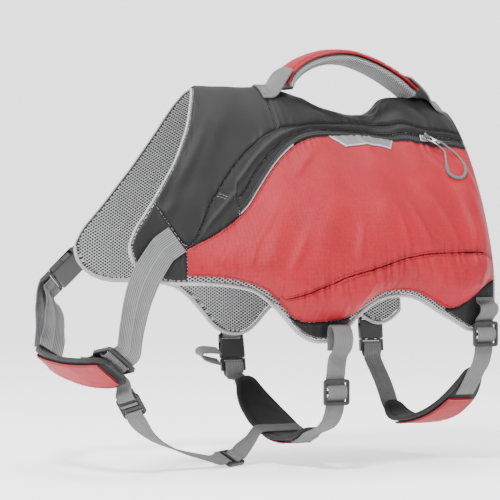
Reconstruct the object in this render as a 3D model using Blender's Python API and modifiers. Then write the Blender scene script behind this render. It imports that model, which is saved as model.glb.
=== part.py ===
"""Dog life jacket, empty, in the hollow form that it has when it is worn.

The jacket hangs over the back like a saddle: a spacer mesh lining, a charcoal yoke and top
panel over it, a bulging red pocket with a zip on each flank, a padded handle, a chest band
and two belly bands. +X points to the tail, +Z up, and -Y is the dog's left, the near side.
The origin lies on the lining's underside on the ridge of the back, below the handle.
Sizes in this file are in millimetres, and new_object() turns them into metres.
"""
import math

import bmesh
import bpy
import numpy as np
from mathutils import Matrix, Vector

MM = 0.001

# Walls, measured outwards from the lining's inner face
LINING_WALL = 3.0
LAYER_GAP = 0.4
PANEL_WALL = 1.5
POCKET_WALL = 2.0
SEAM_HALF_GAP = 0.15
PANEL_IN = LINING_WALL + LAYER_GAP
PANEL_OUT = PANEL_IN + PANEL_WALL
POCKET_IN = PANEL_IN + 0.2

# Where the panels meet along the back
APEX_X = -190.0
NECK_X = -150.0
YOKE_END_X = -80.0
ZIP_START_X = -136.0
REAR_X = 130.0
LOWER_PANEL_X = -106.0

# Webbing
BELLY_WEB = 20.0
CHEST_WEB = 30.0
HANDLE_WEB = 38.0
WEB_THICK = 1.6
TOUCH = 0.3

# Hollow of the jacket: half the width of each section and how far below the ridge it is widest
# Each row is x, half width, depth where it is widest
SECTIONS = (
    (-262, 68, 165),
    (-247, 70, 168),
    (-214, 72, 172),
    (-183, 79, 175),
    (-160, 85, 176),
    (-110, 94, 176),
    (-60, 99, 176),
    (0, 100, 172),
    (60, 99, 170),
    (110, 97, 168),
    (140, 95, 168),
)
SECTION_POWER = 1.45
TUCK_IN = 0.0006

# Height of the ridge, which dips between the ends of the handle; the dip fades down the flank
RIDGE = (
    (-262, 18), (-200, 20), (-165, 21), (-150, 21.5), (-100, 21.5), (-66, 21.5), (-40, 14),
    (-15, 4), (0, 0), (20, -3), (36, -3), (50, 3), (62, 13), (85, 15.5), (100, 14.5),
    (116, 10), (130, 1.5), (142, -7),
)
RIDGE_START = 20.0
RIDGE_FALL = 20.0 / 300.0
RIDGE_START_X = -165.0
DIP_REACH = 70.0

# Lines on the cloth: a row is a place x along the back and the girth g measured from the ridge
NECK_EDGE = (
    (-243, 171.5), (-241, 167), (-236, 157), (-228, 146), (-216, 129.5), (-204, 112), (-190, 91),
    (-180, 72.5), (-170, 52), (-160, 26), (-150, 0),
)
HEM = (
    (-243, 177), (-241, 184), (-236, 191.5), (-228, 197.5), (-216, 202), (-204, 204.5),
    (-190, 205.5), (-165, 207.5), (-145, 210.5), (-122, 218), (-108, 229), (-94, 243.5),
    (-84, 254.5), (-72, 262), (-59, 264), (-46, 261), (-36, 253), (-24, 240), (-11, 229),
    (3, 221), (18, 217), (41, 217.5), (70, 230), (86, 237), (104, 244.5), (113, 243),
    (124, 235.5), (130, 229.5),
)
YOKE_SEAM = (
    (-216, 132.5), (-204, 151.5), (-190, 172), (-161, 130.5), (-139, 101.5), (-123.5, 85.5),
    (-107, 72), (-91, 61.5), (-79, 56), (-53, 49), (-31, 39), (-12, 30), (5, 23), (35, 21),
    (61, 36), (91, 45), (106, 44), (130, 40),
)
POCKET_TOP = (
    (-190, 176), (-177, 170.5), (-163.5, 164.5), (-142, 151), (-127, 138), (-113, 120),
    (-94, 97), (-75.5, 80), (-54, 66), (-31, 56.5), (2, 47), (32, 46), (49, 53), (72, 61),
    (89, 63), (130, 58),
)
CROSS_SEAM = (
    (-109, 227), (-90.5, 222.5), (-54, 209), (-14, 198.5), (25, 186.5), (43, 183),
    (79, 179), (115, 176), (130, 175),
)
POCKET_HEM = (
    (-190, 200.5), (-165, 203), (-148, 206), (-130, 211.5), (-114, 219.5), (-102, 231),
    (-91, 242.5), (-80, 247), (-61, 247), (-38, 243.5), (-31.5, 241), (-20, 233), (-8, 223.5),
    (2, 218), (15, 214.5), (30, 213.5), (45, 216), (59, 221), (73.5, 227), (86, 226),
    (102, 216), (118, 203), (130, 195),
)
# The zip band: x and its width
ZIP_BAND = ((-140, 16), (-115, 19), (-93, 15), (-70, 11), (-30, 10), (130, 11))
EDGE_STRIP = 3.0

# The pocket's bulge: its greatest height, and how far it takes to rise at each end
BULGE = 25.0
BULGE_FRONT = 120.0
BULGE_REAR = 30.0
BULGE_RISE = 0.75
BULGE_TUCK = 10
BULGE_PEAK = 0.77
SEAM_DENT = 3.0
SEAM_DENT_WIDTH = 7.0
POCKET_ROWS = (0, 0.1, 0.26, 0.45, 0.64, 0.81, 0.93, 1)
LOWER_ROWS = (0, 0.24, 0.52, 0.8, 1)

# Folds and gathers: centre x and g, lean of the crest, half length, half width, height
POCKET_FOLDS = (
    (-96, 231, 0.9, 14, 5, 2.2),
    (-74, 233, 0.5, 16, 6, 2.6),
    (-52, 231, 0.1, 18, 6, 2.4),
    (-30, 226, -0.4, 17, 6, 2.8),
    (-10, 212, -0.3, 14, 5, 2.6),
    (8, 205, -0.1, 14, 5, 3.0),
    (24, 203, 0.1, 13, 5, 3.2),
    (39, 204, 0.25, 14, 5, 3.2),
    (54, 208, 0.35, 16, 5, 3.0),
    (70, 209, 0.3, 18, 6, 2.6),
    (92, 200, -0.3, 18, 7, 2.4),
    (-150, 184, -0.8, 26, 8, 2.2),
    (-118, 190, -0.5, 34, 10, 3.0),
    (-62, 168, -0.4, 34, 13, 2.6),
    (8, 150, 0.1, 32, 14, 2.2),
    (62, 140, 0.3, 36, 13, 2.4),
    (104, 120, 0.2, 40, 10, 2.4),
)
YOKE_FOLDS = (
    (-176, 88, -0.62, 42, 6, 2.0),
    (-152, 70, -0.60, 40, 9, 1.4),
    (-206, 140, -0.9, 16, 5, 1.6),
)
TOP_FOLDS = (
    (40, 14, 0.9, 16, 5, 2.4),
    (56, 22, 1.2, 18, 6, 2.6),
    (-18, 20, -1.2, 26, 7, 1.6),
    (104, 24, 0.5, 20, 7, 1.8),
)

# Reflective patch on the pocket: corners as places x and girths below the pocket's top edge
PATCH_WALL = 1.0
PATCH_TOP = (-27.0, 47.0)
PATCH_BOTTOM = (-14.0, 38.0)
PATCH_MARGIN = 1.5
PATCH_HEIGHT = 13.0

# Light piping round the whole edge
PIPING_NECK_RADIUS = 1.3
PIPING_HEM_RADIUS = 1.8
PIPING_OUT = 1.7

# Handle: x, height of its top and the section turns with the path
HANDLE_TOP = (
    (-60, 31.5), (-55, 41), (-46, 50.5), (-33, 58.5), (-15, 64.5), (4.5, 67), (20, 66),
    (34, 62.5), (57, 53.5), (79.5, 40.8), (93, 30.8),
)
HANDLE_COVER_WALL = 2.6
HANDLE_PAD_THICK = 9.0
HANDLE_WIDTH = 39.0

# Buckles and glides
BUCKLE_THICK = 8.0
BELLY_FEMALE = 26.0
CHEST_FEMALE = 38.0
MALE_FOOT = 12.6
BUCKLE_WALL = 1.5
GLIDE_WIDTH = 27.0
GLIDE_LENGTH = 25.0
GLIDE_THICK = 3.6

# A row of a strap is its middle x, y, z and its width direction x, y, z

# Webbing through plastic: how far along the piece and how high over its middle plane
GLIDE_SLOTS = ((-9.1, -1.7), (1.7, 9.1))
GLIDE_WEAVE = (
    (-13, -3.1), (-9.6, -3.1), (-7.8, -2.5), (-5.4, 0.0), (-3.0, 2.5), (0, 3.4), (3.0, 2.5),
    (5.4, 0.0), (7.8, -2.5), (9.6, -3.1), (13, -3.1),
)
FEMALE_FOLD = (
    (-6, -1.1), (-2.2, -2.0), (0.2, -3.0), (2.4, -3.1), (4.0, -2.0), (4.5, 0), (4.0, 2.0),
    (2.4, 3.1), (0.2, 3.0), (-2.2, 2.0), (-6, 1.1), (-11, 1.1),
)
MALE_FOLD = (
    (17.5, -1.2), (13.8, -3.1), (11.5, -3.4), (6.5, -3.4), (4.3, -3.1), (3.0, -1.7), (2.9, 0),
    (3.0, 1.7), (4.3, 3.1), (6.5, 3.4), (11.5, 3.4), (13.8, 3.1), (17.5, 1.2),
)
LOCK_SLOTS = ((-8.7, -5.3), (-2.6, 0.8), (4.2, 7.6))
LOCK_FOLD = (
    (-15, -2.4), (-12.5, -2.6), (-10.7, -3.0), (-8.6, -3.1), (-7.0, -2.0), (-6.5, 0),
    (-7.0, 2.0), (-8.6, 3.1), (-10.7, 3.0), (-13, 2.6), (-16, 2.4),
)
LOCK_WEAVE = (
    (-3.6, -2.95), (-2.2, -2.9), (-1.1, -2.1), (-0.9, 0), (-0.7, 2.1), (0.4, 2.95), (2.5, 3.1),
    (4.6, 2.95), (5.7, 2.1), (5.9, 0), (6.1, -2.1), (7.2, -2.9), (9.5, -3.0), (14, -3.0),
)

# Pads: how many cross sections one has, then each pad's centre line from near to far with its
# width direction, its half widths at shares of its length, and the shares that its cover spans
PAD_ROWS = 15
PAD_BINDING = 5.0
PAD_FACE = 3.0 + TOUCH + WEB_THICK / 2 + 0.1
FRONT_PAD = {
    "rows": ((-50, -60, -306.5, 1, 0, 0), (-50, -50, -312, 1, 0, 0), (-50, -28, -318, 1, 0, 0),
             (-50, -5, -317, 1, 0, 0), (-50, 20, -310, 1, 0, 0), (-50, 45, -299.5, 1, 0, 0),
             (-51, 62, -290, 1, 0, 0), (-53, 76, -278, 1, 0, 0), (-56, 84, -264, 1, 0, 0)),
    "half_widths": ((0, 9), (0.06, 14), (0.2, 20), (0.4, 24.5), (0.6, 25), (0.8, 21),
                    (0.94, 14), (1, 9)),
    "cover": (0.2, 0.82),
}
REAR_PAD = {
    "rows": ((115, -89, -250, 1, 0, 0), (115, -77, -264, 1, 0, 0), (115, -58, -280, 1, 0, 0),
             (114, -35, -293, 1, 0, 0), (113, -8, -302, 1, 0, 0), (112, 20, -307, 1, 0, 0),
             (111, 45, -308, 1, 0, 0), (110, 62, -303, 1, 0, 0), (109, 73, -293, 1, 0, 0)),
    "half_widths": ((0, 9), (0.06, 13), (0.2, 19), (0.4, 23), (0.6, 24), (0.8, 21),
                    (0.94, 14), (1, 9)),
    "cover": (0.22, 0.82),
}
CHEST_PAD = {
    "rows": ((-262, -80, -242.5, 0.77, 0.19, -0.61), (-267, -66, -246, 0.76, 0.15, -0.63),
             (-272, -47, -248, 0.74, 0.1, -0.66), (-277, -26, -248, 0.72, 0.05, -0.69),
             (-281.5, -4, -246, 0.71, 0.05, -0.70), (-284.5, 20, -243, 0.71, 0.08, -0.70),
             (-283.5, 45, -239.5, 0.74, 0.15, -0.65), (-278, 64, -237.5, 0.8, 0.25, -0.52),
             (-271, 77, -234.5, 0.88, 0.33, -0.3), (-267, 83, -227, 0.92, 0.39, 0)),
    "half_widths": ((0, 17), (0.05, 21), (0.12, 22), (0.3, 20.5), (0.5, 17.5), (0.7, 15),
                    (0.85, 13), (1, 12.5)),
    "cover": (0.05, 0.95),
}

# Belly webbing on the near side, from its sewn end to the glide and from there to the pad
FRONT_GLIDE = (-48, -108.4, -268.5)
FRONT_LOOP = (
    (-46, -104.6, -229), (-46, -104.6, -218), (-46, -104.9, -210), (-46, -105.9, -206),
    (-46, -108.7, -204), (-46, -112.5, -204.6), (-46, -117, -208.5), (-46, -119.8, -215),
    (-46, -119.3, -222.5), (-46, -115.5, -228.5), (-46, -110.5, -231.8), (-46, -107.5, -234.5),
    (-46.5, -106, -240), (-47, -105.5, -249),
)
FRONT_FALL = ((-49, -104.3, -289), (-49.4, -98.5, -297), (-49.7, -89, -303), (-50, -78, -306.3),
              (-50, -70, -308.5))
REAR_GLIDE = (117, -106.4, -216)
REAR_LOOP = (
    (118, -103.6, -180), (118, -103.8, -182.5), (118, -104.9, -184.6), (118, -107.7, -185.8),
    (118, -111.5, -187.5), (118, -113, -191.5), (117.8, -110.8, -196), (117.5, -106.8, -199),
)
REAR_FALL = ((116.5, -102.6, -236), (116, -99.6, -244), (115.7, -95.5, -249.5))

# Far side: the buckles' top middles and directions, and the webbing between pad and buckle
FRONT_BUCKLE = (-61, 106.5, -220.3)
FRONT_BUCKLE_DOWN = (0, -0.2, -0.98)
FRONT_FAR = ((-57.5, 91.3, -265.5, 1, 0, 0),)
FRONT_ANCHOR = ((-61, 249), (-61, 255))
REAR_BUCKLE = (101, 106.2, -203)
REAR_BUCKLE_DOWN = (0, -0.1, -0.995)
REAR_FAR = ((107, 83, -279, 1, 0, 0), (104, 93, -262, 1, 0, 0), (102, 99.5, -252, 1, 0, 0))
REAR_ANCHOR = ((101, 226), (101, 231))
FRONT_TAIL = (
    (-75.4, 103.5, -238, 0, 0.95, 0.3), (-84, 104, -236.8, 0, 0.95, 0.3),
    (-91, 104.5, -236.4, 0, 0.95, 0.3), (-95.5, 104.8, -238, 0, 0.95, 0.3),
    (-96.3, 104.8, -241.5, 0, 0.95, 0.3), (-93, 104.5, -244.8, 0, 0.95, 0.3),
    (-85, 103.8, -247.3, 0, 0.95, 0.3), (-75.4, 103, -249.5, 0, 0.95, 0.3),
)

# Chest band
CHEST_BUCKLE = (-229, 91.5, -136)
CHEST_BUCKLE_ACROSS = (0.599, 0.669, -0.44)
CHEST_BUCKLE_DOWN = (-0.689, 0.151, -0.708)
CHEST_LEAN = (-0.865, 0.5)
CHEST_SEWN = ((-198.5, 166.5), (-203.5, 169.6), (-209, 173), (-213, 175.5))
CHEST_FREE = (
    (-220, -79.3, -139.5, 0.62, -0.15, -0.75), (-226.5, -82.2, -147, 0.78, -0.25, -0.58),
    (-234, -83.8, -158.5, 0.85, -0.3, -0.3), (-239.8, -83.5, -173, 0.9, -0.1, -0.25),
    (-244, -82.2, -190, 0.93, 0.1, -0.25), (-247.5, -82.5, -207, 0.88, 0.18, -0.37),
    (-249.8, -83.6, -218, 0.83, 0.19, -0.5), (-250.7, -84.4, -226.7, 0.77, 0.19, -0.61),
)
ADJUSTER = (-261.2, -72, -235.8)
ADJUSTER_ACROSS = (0.77, 0.19, -0.61)
ADJUSTER_ALONG = (-0.39, 0.9, -0.2)
ADJUSTER_SEWN = (2 / 14, 3 / 14, 3.3 / 14)
ADJUSTER_SHIFT = -3.8
CHEST_RISE = (
    (-262.7, 82, -211, 0.90, 0.43, 0), (-261, 86.5, -196, 0.85, 0.5, -0.05),
    (-262.5, 90.4, -183.3, 0.62, 0.66, -0.42),
)
CHEST_TAIL = (
    (-269.8, 99, -180.1, 0.62, 0.66, -0.42), (-268.6, 96.8, -192, 0.8, 0.52, -0.1),
    (-268, 92, -206, 0.88, 0.45, 0),
)
CHEST_TAIL_SLOT = (
    (52.5, -3.4), (48, -3.5), (44.3, -3.4), (42.8, -3.0), (41.8, -2.0), (41.5, 0), (41.8, 2.0),
    (42.8, 3.0), (44.3, 3.4), (49.5, 3.5), (52.5, 3.4),
)

# Strap that links the chest pad to the front belly pad
LINK_WEB = 18.0
LOCK = (-239, -60, -279)
LOCK_ACROSS = (0.75, -0.65, 0)
LOCK_DOWN = (0.52, 0.1, -0.85)
LINK_GLIDE = (-111, 0, -338)
LINK_GLIDE_ACROSS = (0.48, -0.75, -0.45)
LINK_GLIDE_ALONG = (0.88, 0.46, 0.05)
LINK_FRONT = (
    (-220, -43, -303, 0.35, -0.9, 0.2), (-203, -32, -314.5, 0.0, -0.97, 0.15),
    (-184, -24, -323, -0.2, -0.95, 0.05), (-165, -17.5, -329.5, -0.1, -0.97, -0.1),
    (-147, -13, -334, 0.15, -0.93, -0.25), (-129.1, -11.1, -338.9, 0.48, -0.75, -0.45),
)
LINK_REAR = (
    (-95.1, 5.6, -330.5, 0.48, -0.75, -0.45), (-85.5, 5.5, -321.5, 0.1, -0.96, -0.26),
    (-79.7, 6, -313.8, 0, -0.963, -0.27), (-75.2, 6.2, -310.1, 0, -0.963, -0.27),
)
LINK_SEWN = (-17, -8, 4, 20)

# Zip pull: its place (x, g) on the zip, its tilt, and rows x, g, height of the cord's loop
PULL_PLACE = (82.0, 56.0)
PULL_TILT = math.radians(15)
PULL_LOOP = (
    (101, 68.3, 2.6), (105, 70.5, 1.4), (109.5, 74.5, 0), (113, 81.5, 0), (112.5, 90, 0),
    (107, 98.5, 0), (100, 103.5, 0), (93.4, 103, 0), (89, 98.5, 0), (89.5, 92, 0), (92, 84, 0),
    (94.3, 77, 0.4), (95.2, 71.5, 1.2),
)
CORD_RADIUS = 0.9


def smooth(value, rows):
    """Cubic curve through the rows, read at value; it runs on straight past both ends."""
    knots, heights = np.array(rows, float).T[:2]
    slopes = np.gradient(heights, knots)
    value = np.asarray(value, float)
    i = np.clip(np.searchsorted(knots, value) - 1, 0, len(knots) - 2)
    step = knots[i + 1] - knots[i]
    t = np.clip((value - knots[i]) / step, 0, 1)
    curve = ((2 * t**3 - 3 * t**2 + 1) * heights[i] + (t**3 - 2 * t**2 + t) * step * slopes[i]
             + (3 * t**2 - 2 * t**3) * heights[i + 1] + (t**3 - t**2) * step * slopes[i + 1])
    past = value - np.clip(value, knots[0], knots[-1])
    return curve + past * np.where(past < 0, slopes[0], slopes[-1])


def section_point(x, g):
    """Inner face of the hollow at x along the back and signed girth g from the ridge."""
    x, g = np.broadcast_arrays(np.asarray(x, float), np.asarray(g, float))
    width = smooth(x, [row[:2] for row in SECTIONS])[..., None]
    depth = smooth(x, [(row[0], row[2]) for row in SECTIONS])[..., None]
    turn = np.linspace(0, math.pi / 2, 60)
    below = np.linspace(4, 160, 40)
    across = np.concatenate([width * np.sin(turn) ** (2 / SECTION_POWER),
                             width - TUCK_IN * below**2], axis=-1)
    down = np.concatenate([depth * (1 - np.cos(turn) ** (2 / SECTION_POWER)),
                           depth + below], axis=-1)
    steps = np.hypot(np.diff(across), np.diff(down))
    girth = np.concatenate([np.zeros(steps.shape[:-1] + (1,)), np.cumsum(steps, axis=-1)], axis=-1)
    reach = np.abs(g)[..., None]
    i = np.clip((girth < reach).sum(axis=-1, keepdims=True) - 1, 0, girth.shape[-1] - 2)
    low = np.take_along_axis(girth, i, -1)
    high = np.take_along_axis(girth, i + 1, -1)
    t = (reach - low) / (high - low)
    y = (np.take_along_axis(across, i, -1) * (1 - t) + np.take_along_axis(across, i + 1, -1) * t)
    drop = (np.take_along_axis(down, i, -1) * (1 - t) + np.take_along_axis(down, i + 1, -1) * t)
    even = RIDGE_START - (x - RIDGE_START_X) * RIDGE_FALL
    ridge = even + (smooth(x, RIDGE) - even) * np.exp(-(g / DIP_REACH) ** 2)
    return np.stack([x, np.sign(g) * y[..., 0], ridge - drop[..., 0]], axis=-1)


def skin(x, g, out=0.0):
    """Point at x and signed girth g, moved out along the surface's normal."""
    step = 0.8
    along = section_point(x + step, g) - section_point(x - step, g)
    round_body = section_point(x, g + step) - section_point(x, g - step)
    normal = np.cross(along, round_body)
    normal /= np.linalg.norm(normal, axis=-1, keepdims=True)
    return section_point(x, g) + normal * np.asarray(out, float)[..., None]


def folds(x, g, rows):
    """Sum of soft ridges; each one has a Gaussian profile and fades along its crest."""
    total = np.zeros(np.broadcast(x, g).shape)
    for centre_x, centre_g, lean, half_length, half_width, height in rows:
        size = math.hypot(1, lean)
        along = ((x - centre_x) * lean + (g - centre_g)) / size
        across = ((x - centre_x) - (g - centre_g) * lean) / size
        total += height * np.exp(-(along / half_length) ** 2 - (across / half_width) ** 2)
    return total


def pocket_out(x, g):
    """Height of the pocket's inner face over the lining at girth g (no sign)."""
    top = smooth(x, POCKET_TOP)
    hem = hem_line(x) - strip_width(x)
    t = np.clip((g - top) / (hem - top), 0, 1)
    profile = t**BULGE_RISE * (1 - t**BULGE_TUCK) / BULGE_PEAK
    front = np.sin(math.pi / 2 * np.clip((x - APEX_X) / BULGE_FRONT, 0, 1))
    rear = np.sin(math.pi / 2 * np.clip((REAR_X - x) / BULGE_REAR, 0, 1))
    seam = smooth(x, CROSS_SEAM)
    has_seam = np.clip((x - LOWER_PANEL_X) / 20, 0, 1)
    dent = SEAM_DENT * has_seam * np.exp(-((g - seam) / SEAM_DENT_WIDTH) ** 2)
    edge = np.clip(np.minimum(t, 1 - t) * 8, 0, 1) * np.clip(np.minimum(front, rear) * 2, 0, 1)
    return POCKET_IN + BULGE * profile * front * rear + (folds(x, g, POCKET_FOLDS) - dent) * edge


def hem_line(x):
    """Girth of the lining's hem."""
    return smooth(x, HEM)


def strip_width(x):
    """Width of the strip between the pocket's hem and the lining's."""
    hem = smooth(x, HEM)
    strip = np.maximum(EDGE_STRIP, hem - smooth(x, POCKET_HEM))
    room = 0.3 * (hem - smooth(x, NECK_EDGE))
    return np.where(x < APEX_X, np.minimum(EDGE_STRIP, room), strip)


# The rows of the shared grid run between seven lines from the ridge or neck edge to the hem
ROWS_YOKE, ROWS_GUSSET, ROWS_ZIP, ROWS_UPPER, ROWS_LOWER, ROWS_STRIP = 4, 1, 1, 3, 1, 1
BLOCK_ROWS = (ROWS_YOKE, ROWS_GUSSET, ROWS_ZIP, ROWS_UPPER, ROWS_LOWER, ROWS_STRIP)
BLOCK_START = np.concatenate([[0], np.cumsum(BLOCK_ROWS)])
YOKE, GUSSET, ZIP, UPPER, LOWER, STRIP = range(6)


def lines(x):
    """Girths of the seven lines at one place x."""
    start = max(float(smooth(x, NECK_EDGE)), 0.0) if x < NECK_X else 0.0
    hem = float(hem_line(x))
    pocket_hem = hem - float(strip_width(x))
    if x < APEX_X:
        seam = start + min(3.0, 0.3 * (hem - start))
        if x > -216.5:
            seam = float(smooth(x, YOKE_SEAM))
        between = np.linspace(seam, pocket_hem, 5)
        return [start, seam, between[1], between[2], between[3], pocket_hem, hem]
    seam = float(smooth(x, YOKE_SEAM))
    top = float(smooth(x, POCKET_TOP))
    zip_top = top - float(np.interp(x, *np.array(ZIP_BAND, float).T))
    if x < ZIP_START_X - 1:
        zip_top = (seam + top) / 2
    seam = min(seam, zip_top - 6) if x >= ZIP_START_X - 1 else seam
    cross = min(float(smooth(x, CROSS_SEAM)), pocket_hem - 6)
    return [start, seam, zip_top, top, cross, pocket_hem, hem]


def rows_between(bounds, counts):
    """Girths of the rows, evenly spread between each pair of neighbouring lines."""
    rows = [bounds[0]]
    for low, high, count in zip(bounds, bounds[1:], counts):
        rows += [low + (high - low) * k / count for k in range(1, count + 1)]
    return rows


COLUMNS = np.concatenate([
    (-243, -241, -236, -228, -216, -204),
    np.linspace(APEX_X, NECK_X, 5),
    np.linspace(NECK_X, YOKE_END_X, 6)[1:],
    np.linspace(YOKE_END_X, REAR_X, 16)[1:],
])
GIRTHS = np.array([rows_between(lines(x), BLOCK_ROWS) for x in COLUMNS])
APEX, NECK, YOKE_END, ZIP_START = (int(np.argmin(np.abs(COLUMNS - x)))
                                   for x in (APEX_X, NECK_X, YOKE_END_X, ZIP_START_X))
YOKE_TIP = int(np.argmin(np.abs(COLUMNS + 216)))
LAST = len(COLUMNS) - 1


def material(name, colour, roughness=0.8, metallic=0.0):
    """Principled material in one colour."""
    made = bpy.data.materials.get(name)
    if made:
        return made
    made = bpy.data.materials.new(name)
    made.use_nodes = True
    shader = made.node_tree.nodes["Principled BSDF"]
    shader.inputs["Base Color"].default_value = (*colour, 1)
    shader.inputs["Roughness"].default_value = roughness
    shader.inputs["Metallic"].default_value = metallic
    return made


RED = ("red nylon", (0.62, 0.06, 0.08), 0.7)
CHARCOAL = ("charcoal nylon", (0.05, 0.05, 0.055), 0.75)
MESH_GREY = ("spacer mesh", (0.55, 0.56, 0.57), 0.9)
WEB_GREY = ("grey webbing", (0.30, 0.30, 0.31), 0.85)
ELASTIC_GREY = ("ribbed elastic", (0.36, 0.36, 0.37), 0.85)
PIPING_GREY = ("light piping", (0.60, 0.61, 0.61), 0.7)
PLASTIC = ("black plastic", (0.02, 0.02, 0.022), 0.4)
FOAM_BLACK = ("black padding", (0.02, 0.02, 0.02), 0.9)
ZIP_BLACK = ("zip tape", (0.015, 0.015, 0.017), 0.7)
REFLECTIVE = ("reflective patch", (0.33, 0.34, 0.35), 0.35)
STEEL = ("zip metal", (0.45, 0.45, 0.47), 0.3, 1.0)
CORD_GREY = ("pull cord", (0.30, 0.33, 0.32), 0.7)


def new_object(name, points, faces, finish):
    """Mesh object from points in millimetres, in the jacket's own collection."""
    mesh = bpy.data.meshes.new(name)
    mesh.from_pydata([Vector(point) * MM for point in points], [], faces)
    mesh.materials.append(material(*finish))
    made = bpy.data.objects.new(name, mesh)
    JACKET.objects.link(made)
    mesh.shade_smooth()
    mesh.set_sharp_from_angle(angle=math.radians(40))
    return made


def face_outwards(made):
    """Turn every face of a closed mesh outwards."""
    work = bmesh.new()
    work.from_mesh(made.data)
    bmesh.ops.recalc_face_normals(work, faces=work.faces)
    if work.calc_volume(signed=True) < 0:
        bmesh.ops.reverse_faces(work, faces=work.faces)
    work.to_mesh(made.data)
    work.free()


def wall(name, inner, outer, cells, finish):
    """Closed wall between two like grids; inner and outer give a point for each cell corner."""
    keys = sorted({corner for cell in cells for corner in cell})
    index = {key: i for i, key in enumerate(keys)}
    count = len(keys)
    points = [inner[key] for key in keys] + [outer[key] for key in keys]
    faces = []
    edges = {}
    for cell in cells:
        ring = [index[corner] for corner in cell]
        for a, b, c in (ring[:3], (ring[0], ring[2], ring[3])):
            faces.append((a, b, c))
            faces.append((c + count, b + count, a + count))
        for a, b in zip(ring, ring[1:] + ring[:1]):
            edges[(a, b)] = True
    for a, b in edges:
        if (b, a) not in edges:
            faces.append((b, a, a + count))
            faces.append((b, a + count, b + count))
    made = new_object(name, points, faces, finish)
    face_outwards(made)
    return made


def block_cells(block, first, last, side):
    """Cells of one block of rows between two columns, on one side."""
    low, high = BLOCK_START[block], BLOCK_START[block + 1]
    return [((side, i, j), (side, i + 1, j), (side, i + 1, j + 1), (side, i, j + 1))
            for i in range(first, last) for j in range(low, high)]


def ridge_key(key):
    """Both sides share the points that lie on the ridge."""
    side, i, j = key
    return (1, i, j) if j == 0 and i >= NECK else key


def inset_places(cells, half_gap=SEAM_HALF_GAP):
    """Place (x, signed g) of each corner, drawn in from the panel's own edges."""
    present = set()
    for cell in cells:
        side = cell[0][0]
        present.add((side, cell[0][1], cell[0][2]))
    places = {}
    for cell in cells:
        for key in cell:
            if key in places:
                continue
            side, i, j = key
            pull_x = pull_g = 0
            for di, dj in ((-1, -1), (-1, 0), (0, -1), (0, 0)):
                other = (side, i + di, j + dj)
                if j + dj < 0 and i >= NECK and (side, i + di, 0) in present:
                    continue
                if other not in present:
                    pull_x += 1 if di == 0 else -1
                    pull_g += 1 if dj == 0 else -1
            left, right = max(i - 1, 0), min(i + 1, LAST)
            slope = (GIRTHS[right, j] - GIRTHS[left, j]) / (COLUMNS[right] - COLUMNS[left])
            x = COLUMNS[i] - half_gap * np.sign(pull_x)
            g = GIRTHS[i, j] - half_gap * math.hypot(1, slope) * np.sign(pull_g)
            places[key] = (x, side * max(g, 0.0))
    return places


def panel(name, cells, finish, inside, outside, half_gap=SEAM_HALF_GAP):
    """Cloth wall over a set of cells of the shared grid."""
    places = inset_places(cells, half_gap)
    keys = list(places)
    x = np.array([places[key][0] for key in keys])
    g = np.array([places[key][1] for key in keys])
    inner_points = skin(x, g, inside(x, np.abs(g)))
    outer_points = skin(x, g, outside(x, np.abs(g)))
    inner = {ridge_key(key): point for key, point in zip(keys, inner_points)}
    outer = {ridge_key(key): point for key, point in zip(keys, outer_points)}
    joined = []
    for cell in cells:
        ring = tuple(ridge_key(key) for key in cell)
        joined.append(ring if cell[0][0] > 0 else ring[::-1])
    return wall(name, inner, outer, joined, finish)


def level(height, rows=()):
    """Height over the lining's inner face, with folds where the panel has them."""
    return lambda x, g: height + folds(x, g, rows)


def make_lining():
    cells = []
    for side in (-1, 1):
        for block in range(6):
            cells += block_cells(block, 0, LAST, side)
    panel("lining", cells, MESH_GREY, level(0), level(LINING_WALL), 0)


def make_yoke():
    cells = block_cells(YOKE, YOKE_TIP, YOKE_END, -1) + block_cells(YOKE, YOKE_TIP, YOKE_END, 1)
    panel("yoke", cells, CHARCOAL, level(PANEL_IN), level(PANEL_OUT, YOKE_FOLDS))


def make_top_panel():
    cells = block_cells(YOKE, YOKE_END, LAST, -1) + block_cells(YOKE, YOKE_END, LAST, 1)
    panel("top_panel", cells, CHARCOAL, level(PANEL_IN), level(PANEL_OUT, TOP_FOLDS))


def make_side_panels(side, suffix):
    chest = block_cells(YOKE, 0, YOKE_TIP, side)
    for block in (GUSSET, ZIP, UPPER, LOWER, STRIP):
        chest += block_cells(block, 0, APEX, side)
    panel("chest_panel_" + suffix, chest, CHARCOAL, level(PANEL_IN), level(PANEL_OUT))
    gusset = block_cells(GUSSET, APEX, LAST, side) + block_cells(ZIP, APEX, ZIP_START, side)
    panel("gusset_" + suffix, gusset, CHARCOAL, level(PANEL_IN), level(PANEL_OUT))
    panel("zip_" + suffix, block_cells(ZIP, ZIP_START, LAST, side), ZIP_BLACK,
          level(PANEL_IN), level(PANEL_OUT - 0.5))
    for name, first_x, last_x in (("tab_front_", -95, -30), ("tab_rear_", 70, 131)):
        first = int(np.argmin(np.abs(COLUMNS - first_x)))
        last = int(np.argmin(np.abs(COLUMNS - last_x)))
        panel(name + suffix, block_cells(STRIP, first, last, side), CHARCOAL,
              level(PANEL_IN), level(PANEL_OUT))


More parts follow.
